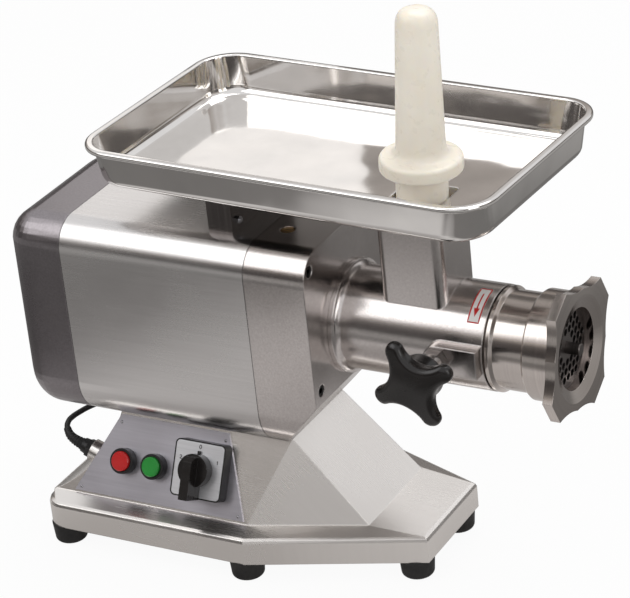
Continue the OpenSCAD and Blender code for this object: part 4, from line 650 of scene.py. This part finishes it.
# Inset and share of the height, from the underside round the edge to the top
STAR_EDGE = [
    (2.6, 0.0), (1.2, 0.03), (0.35, 0.11), (0, 0.24), (0, 0.52), (0.3, 0.68), (1.1, 0.81), (2.4, 0.91),
    (4.0, 0.97), (5.6, 1.0),
]
star_rings = [star_ring(STAR_EDGE[0][0], 0, 0.5)] + [star_ring(*e) for e in STAR_EDGE]
star_rings += [star_ring(STAR_EDGE[-1][0], 1.0, k) for k in (0.85, 0.65, 0.45, 0.25, 0.1)]
hub_profile = rounded_line([
    (0, 0, 0), (15, 0, 1), (17.5, 1.5, 2), (HUB_R, 9, 4), (HUB_R - 1, HUB_L + 2, 0), (0, HUB_L + 2, 0),
])
star = joined(loft(star_rings), lathe(hub_profile, knob_place, 96))
knob = piece("star_grip", *star, "black_gloss", "clamp knob")
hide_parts("star_knob")

# Marks


def ribbon(points, width):
    """Left and right edges of a flat stroke along 2D points."""
    left, right = [], []
    for i, p in enumerate(points):
        along = (points[min(i + 1, len(points) - 1)] - points[max(i - 1, 0)]).normalized()
        across = Vector((-along.y, along.x)) * width / 2
        left.append(p + across)
        right.append(p - across)
    return left, right


def stroke(points, width, lift, thick, place):
    """A thin raised stroke: place takes (u, v, height) into the frame."""
    left, right = ribbon(points, width)
    top = lift + thick
    return loft([
        [place(a.x, a.y, lift), place(b.x, b.y, lift), place(b.x, b.y, top), place(a.x, a.y, top)]
        for a, b in zip(left, right)
    ])


SWITCH = Vector((161, 52))
PANEL_FOOT = (-110, 58.5)
PANEL_UP = (0.4552, 0.8904)
FACE_TOP = 16.5
MARK_W, MARK_LIFT, MARK_T = 0.75, 0.02, 0.15


def on_dial(u, v, height):
    """A point on the switch's plate, from its shaft."""
    up = SWITCH.y + v
    out = FACE_TOP + height
    y = PANEL_FOOT[0] + PANEL_UP[0] * up - PANEL_UP[1] * out
    z = PANEL_FOOT[1] + PANEL_UP[1] * up + PANEL_UP[0] * out
    return at(u - SWITCH.x, y, z)


def digit(which):
    """Stroke points of a number 4 mm high."""
    if which == 0:
        return [Vector((1.3 * math.cos(a), 2 * math.sin(a))) for a in (k * math.tau / 24 for k in range(25))]
    if which == 1:
        return [Vector(p) for p in ((-0.9, 1.1), (0.1, 2), (0.1, 1), (0.1, 0), (0.1, -2))]
    turns = [math.radians(165 - k * 18) for k in range(13)]
    bow = [Vector((1.25 * math.cos(a), 0.85 + 1.15 * math.sin(a))) for a in turns]
    return bow + [Vector((-1.3, -1.95)), Vector((-0.2, -1.95)), Vector((1.4, -1.95))]


DIAL_MARKS = {2: (-23.5, 11.5), 0: (0, 26), 1: (23.5, 11.5)}
mark_strokes = [
    stroke([Vector(where) + p for p in digit(which)], MARK_W, MARK_LIFT, MARK_T, on_dial)
    for which, where in DIAL_MARKS.items()
]
piece("dial_numbers", *joined(*mark_strokes), "black_plastic", "base")

TUBE_R = 57.3
LABEL_X = 164.5
LABEL_W, LABEL_L = 14.0, 46.0
LABEL_START = 4.0


def on_tube(u, v, height):
    """A point on the head's tube: u along it from the label's middle, v down its side from the top."""
    turn = math.pi / 2 + v / TUBE_R
    p = circle_point(TUBE_R + height, turn)
    return at(LABEL_X + u, p.x, AXIS_Z / MM + p.y)


def label_box(half_w, start, end, steps=20):
    """Outline of a long box, with enough points to follow the tube."""
    down = [Vector((half_w, start + (end - start) * k / steps)) for k in range(steps + 1)]
    return down + [Vector((-p.x, p.y)) for p in reversed(down)]


def band(rows, lift, thick):
    """A raised shape down the tube's side through rows of half width and place."""
    top = lift + thick
    corners = ((1, lift), (-1, lift), (-1, top), (1, top))
    return loft([[on_tube(side * w, v, h) for side, h in corners] for w, v in rows])


def strip(half_w, start, end, lift, thick, steps=20):
    """A band along the tube's side."""
    rows = [(half_w, start + (end - start) * k / steps) for k in range(steps + 1)]
    return band(rows, lift, thick)


label_end = LABEL_START + LABEL_L
LABEL_WHITE = moulded("label_white", (0.90, 0.89, 0.88), (0.84, 0.83, 0.82), 0.4, 800, 0.5e-5)
ground_form = strip(LABEL_W / 2, LABEL_START, label_end, 0.03, 0.12)
piece("label_ground", *ground_form, "dial_plate", "base", material=LABEL_WHITE)

INK_LIFT, INK_T = 0.15, 0.08
BORDER_W, BORDER_IN = 1.5, 0.8
SHAFT_HALF, SHAFT_UP, SHAFT_DOWN = 0.8, 14, 8
HEAD_HALF, HEAD_TIP, HEAD_FROM, HEAD_STEPS = 3.2, 0.05, 6, 10
frame_line = label_box(LABEL_W / 2 - BORDER_IN, LABEL_START + BORDER_IN, label_end - BORDER_IN)
border = stroke(frame_line + [frame_line[0]], BORDER_W, INK_LIFT, INK_T, on_tube)
label_middle = (LABEL_START + label_end) / 2
arrow_shaft = strip(SHAFT_HALF, label_middle - SHAFT_UP, label_middle + SHAFT_DOWN, INK_LIFT, INK_T)
head_from = label_middle + HEAD_FROM
head_rows = [(HEAD_HALF * (1 - k / HEAD_STEPS) + HEAD_TIP, head_from + k) for k in range(HEAD_STEPS + 1)]
arrow_head = band(head_rows, INK_LIFT, INK_T)
piece("label_arrow", *joined(border, arrow_shaft, arrow_head), "red_plastic", "base")

# Studio


def light(name, where, aim, size, power):
    """A soft rectangular lamp."""
    lamp = bpy.data.lights.new(name, "AREA")
    lamp.shape = "RECTANGLE"
    lamp.size, lamp.size_y = size
    lamp.energy = power
    made = bpy.data.objects.new(name, lamp)
    SCENE.collection.objects.link(made)
    made.location = where
    made.rotation_mode = "QUATERNION"
    made.rotation_quaternion = (Vector(aim) - Vector(where)).to_track_quat("-Z", "Y")


light("key", (-1.6, -1.6, 2.6), (0, 0, 0.25), (2.2, 2.2), 22)
light("fill", (2.4, -1.2, 1.2), (0, 0, 0.25), (1.2, 1.6), 12)
light("top", (0.2, 0.8, 2.4), (0, 0, 0.3), (2.0, 1.2), 22)
light("back_card", (-0.7, 0.85, 0.9), (-0.2, 0, 0.4), (0.5, 0.35), 0.42)

world = bpy.data.worlds.new("studio")
SCENE.world = world
world.use_nodes = True
world.node_tree.nodes.clear()


def world_node(kind, inputs=None, **settings):
    return add_node(world.node_tree, kind, inputs, **settings)


# Directions that metal sees brightly, the cosine where each card ends and what it adds
BRIGHT_CARDS = [((0.34, 0.80, 0.54), 0.92, 0.60), ((0.22, -0.82, 0.52), 0.90, 0.65)]
CARD_SCALE, CARD_GAIN = 2.2, 0.55
WALL_STOPS = [
    (0.25, (0.05, 0.045, 0.045, 1)), (0.52, (0.12, 0.11, 0.105, 1)), (0.70, (0.46, 0.42, 0.39, 1)),
    (0.92, (0.88, 0.88, 0.89, 1)),
]
AMBIENT = 0.62

# Metal sees a bright ceiling, darker walls and soft cards; the camera sees white.
direction = world_node("ShaderNodeTexCoord").outputs["Generated"]
height = world_node("ShaderNodeSeparateXYZ", {0: direction}).outputs[2]
cards = world_node("ShaderNodeTexNoise", {"Vector": direction, "Scale": CARD_SCALE, "Detail": 1.0}).outputs[0]
raised = world_node("ShaderNodeMath", {0: cards, 1: CARD_GAIN, 2: height}, operation="MULTIPLY_ADD")
seen_height = raised.outputs[0]
for toward, limit, gain in BRIGHT_CARDS:
    facing = world_node(
        "ShaderNodeVectorMath", {0: direction, 1: Vector(toward).normalized()}, operation="DOT_PRODUCT",
    ).outputs["Value"]
    lift = world_node("ShaderNodeMapRange", {"Value": facing, "From Min": limit, "To Max": gain}).outputs[0]
    seen_height = world_node("ShaderNodeMath", {0: seen_height, 1: lift}, operation="ADD").outputs[0]
walls = world_node("ShaderNodeValToRGB", {0: seen_height})
set_stops(walls.color_ramp, WALL_STOPS)
ray = world_node("ShaderNodeLightPath").outputs
seen = world_node("ShaderNodeBackground", {"Color": (1, 1, 1, 1), "Strength": 1.0}).outputs[0]
mirrored = world_node("ShaderNodeBackground", {"Color": walls.outputs[0], "Strength": 1.0}).outputs[0]
ambient = world_node("ShaderNodeBackground", {"Color": (1, 1, 1, 1), "Strength": AMBIENT}).outputs[0]
lit = world_node("ShaderNodeMixShader", {0: ray["Is Glossy Ray"], 1: ambient, 2: mirrored}).outputs[0]
straight = {0: ray["Is Camera Ray"], 1: ray["Is Transmission Ray"]}
white = world_node("ShaderNodeMath", straight, operation="MAXIMUM").outputs[0]
final = world_node("ShaderNodeMixShader", {0: white, 1: lit, 2: seen}).outputs[0]
world_node("ShaderNodeOutputWorld", {0: final})

FLOOR_HALF = 30
FLOOR_Z = -0.0004
FLOOR_WHITE = 0.94
floor_mesh = bpy.data.meshes.new("floor")
floor_corners = [(x * FLOOR_HALF, y * FLOOR_HALF, FLOOR_Z) for x, y in ((-1, -1), (1, -1), (1, 1), (-1, 1))]
floor_mesh.from_pydata(floor_corners, [], [(0, 1, 2, 3)])
floor = bpy.data.objects.new("floor", floor_mesh)
SCENE.collection.objects.link(floor)
# Painted reflection: in glossy rays the floor glows with a tone, bright round the machine and dark further
# out, with an uneven edge
TABLE_COLOUR = (0.82, 0.82, 0.82, 1)
REFLECTION_SHARE = 0.88
PATCH_SCALE, PATCH_SHIFT = 2.6, 0.08
REFLECTION_MIDDLE = (-0.1, -0.15, 0)
REFLECTION_OVAL = (1.2, 1, 1)
REFLECTION_SPAN = (0.2, 1.6)
REFLECTION_STOPS = [
    (0.0, (0.40, 0.38, 0.37, 1)), (0.20, (0.66, 0.64, 0.63, 1)), (0.32, (0.12, 0.11, 0.105, 1)),
    (0.64, (0.10, 0.095, 0.09, 1)), (0.9, (0.36, 0.35, 0.34, 1)),
]
ground = Surface("floor", Roughness=0.8)
ground.shader.inputs["Base Color"].default_value = TABLE_COLOUR
glow = ground.node("ShaderNodeEmission", {"Color": (1, 1, 1, 1), "Strength": 1.0}).outputs[0]
path = ground.node("ShaderNodeLightPath").outputs
direct = ground.math("MAXIMUM", path["Is Camera Ray"], path["Is Transmission Ray"])
bright = ground.math("MULTIPLY", direct, FLOOR_WHITE)
offset = ground.node("ShaderNodeVectorMath", {0: ground.place, 1: REFLECTION_MIDDLE}, operation="SUBTRACT")
oval = ground.node("ShaderNodeVectorMath", {0: offset.outputs[0], 1: REFLECTION_OVAL}, operation="MULTIPLY")
far = ground.node("ShaderNodeVectorMath", {0: oval.outputs[0]}, operation="LENGTH").outputs["Value"]
patches = ground.noise(ground.place, PATCH_SCALE, 1)
uneven = ground.math("ADD", far, ground.spread(patches, -PATCH_SHIFT, PATCH_SHIFT))
painted_reflection = ground.ramp(ground.spread(uneven, 0, 1, *REFLECTION_SPAN), REFLECTION_STOPS)
# Painted reflection: the floor glows with this tone for glossy rays only
reflected = ground.node("ShaderNodeEmission", {"Color": painted_reflection, "Strength": 1.0}).outputs[0]
plain = ground.shader.outputs[0]
toned = ground.node("ShaderNodeMixShader", {0: REFLECTION_SHARE, 1: plain, 2: reflected}).outputs[0]
underfoot = ground.node("ShaderNodeMixShader", {0: path["Is Glossy Ray"], 1: plain, 2: toned}).outputs[0]
mixed = ground.node("ShaderNodeMixShader", {0: bright, 1: underfoot, 2: glow}).outputs[0]
ground.tree.links.new(mixed, ground.tree.nodes["Material Output"].inputs[0])
floor_mesh.materials.append(ground.material)
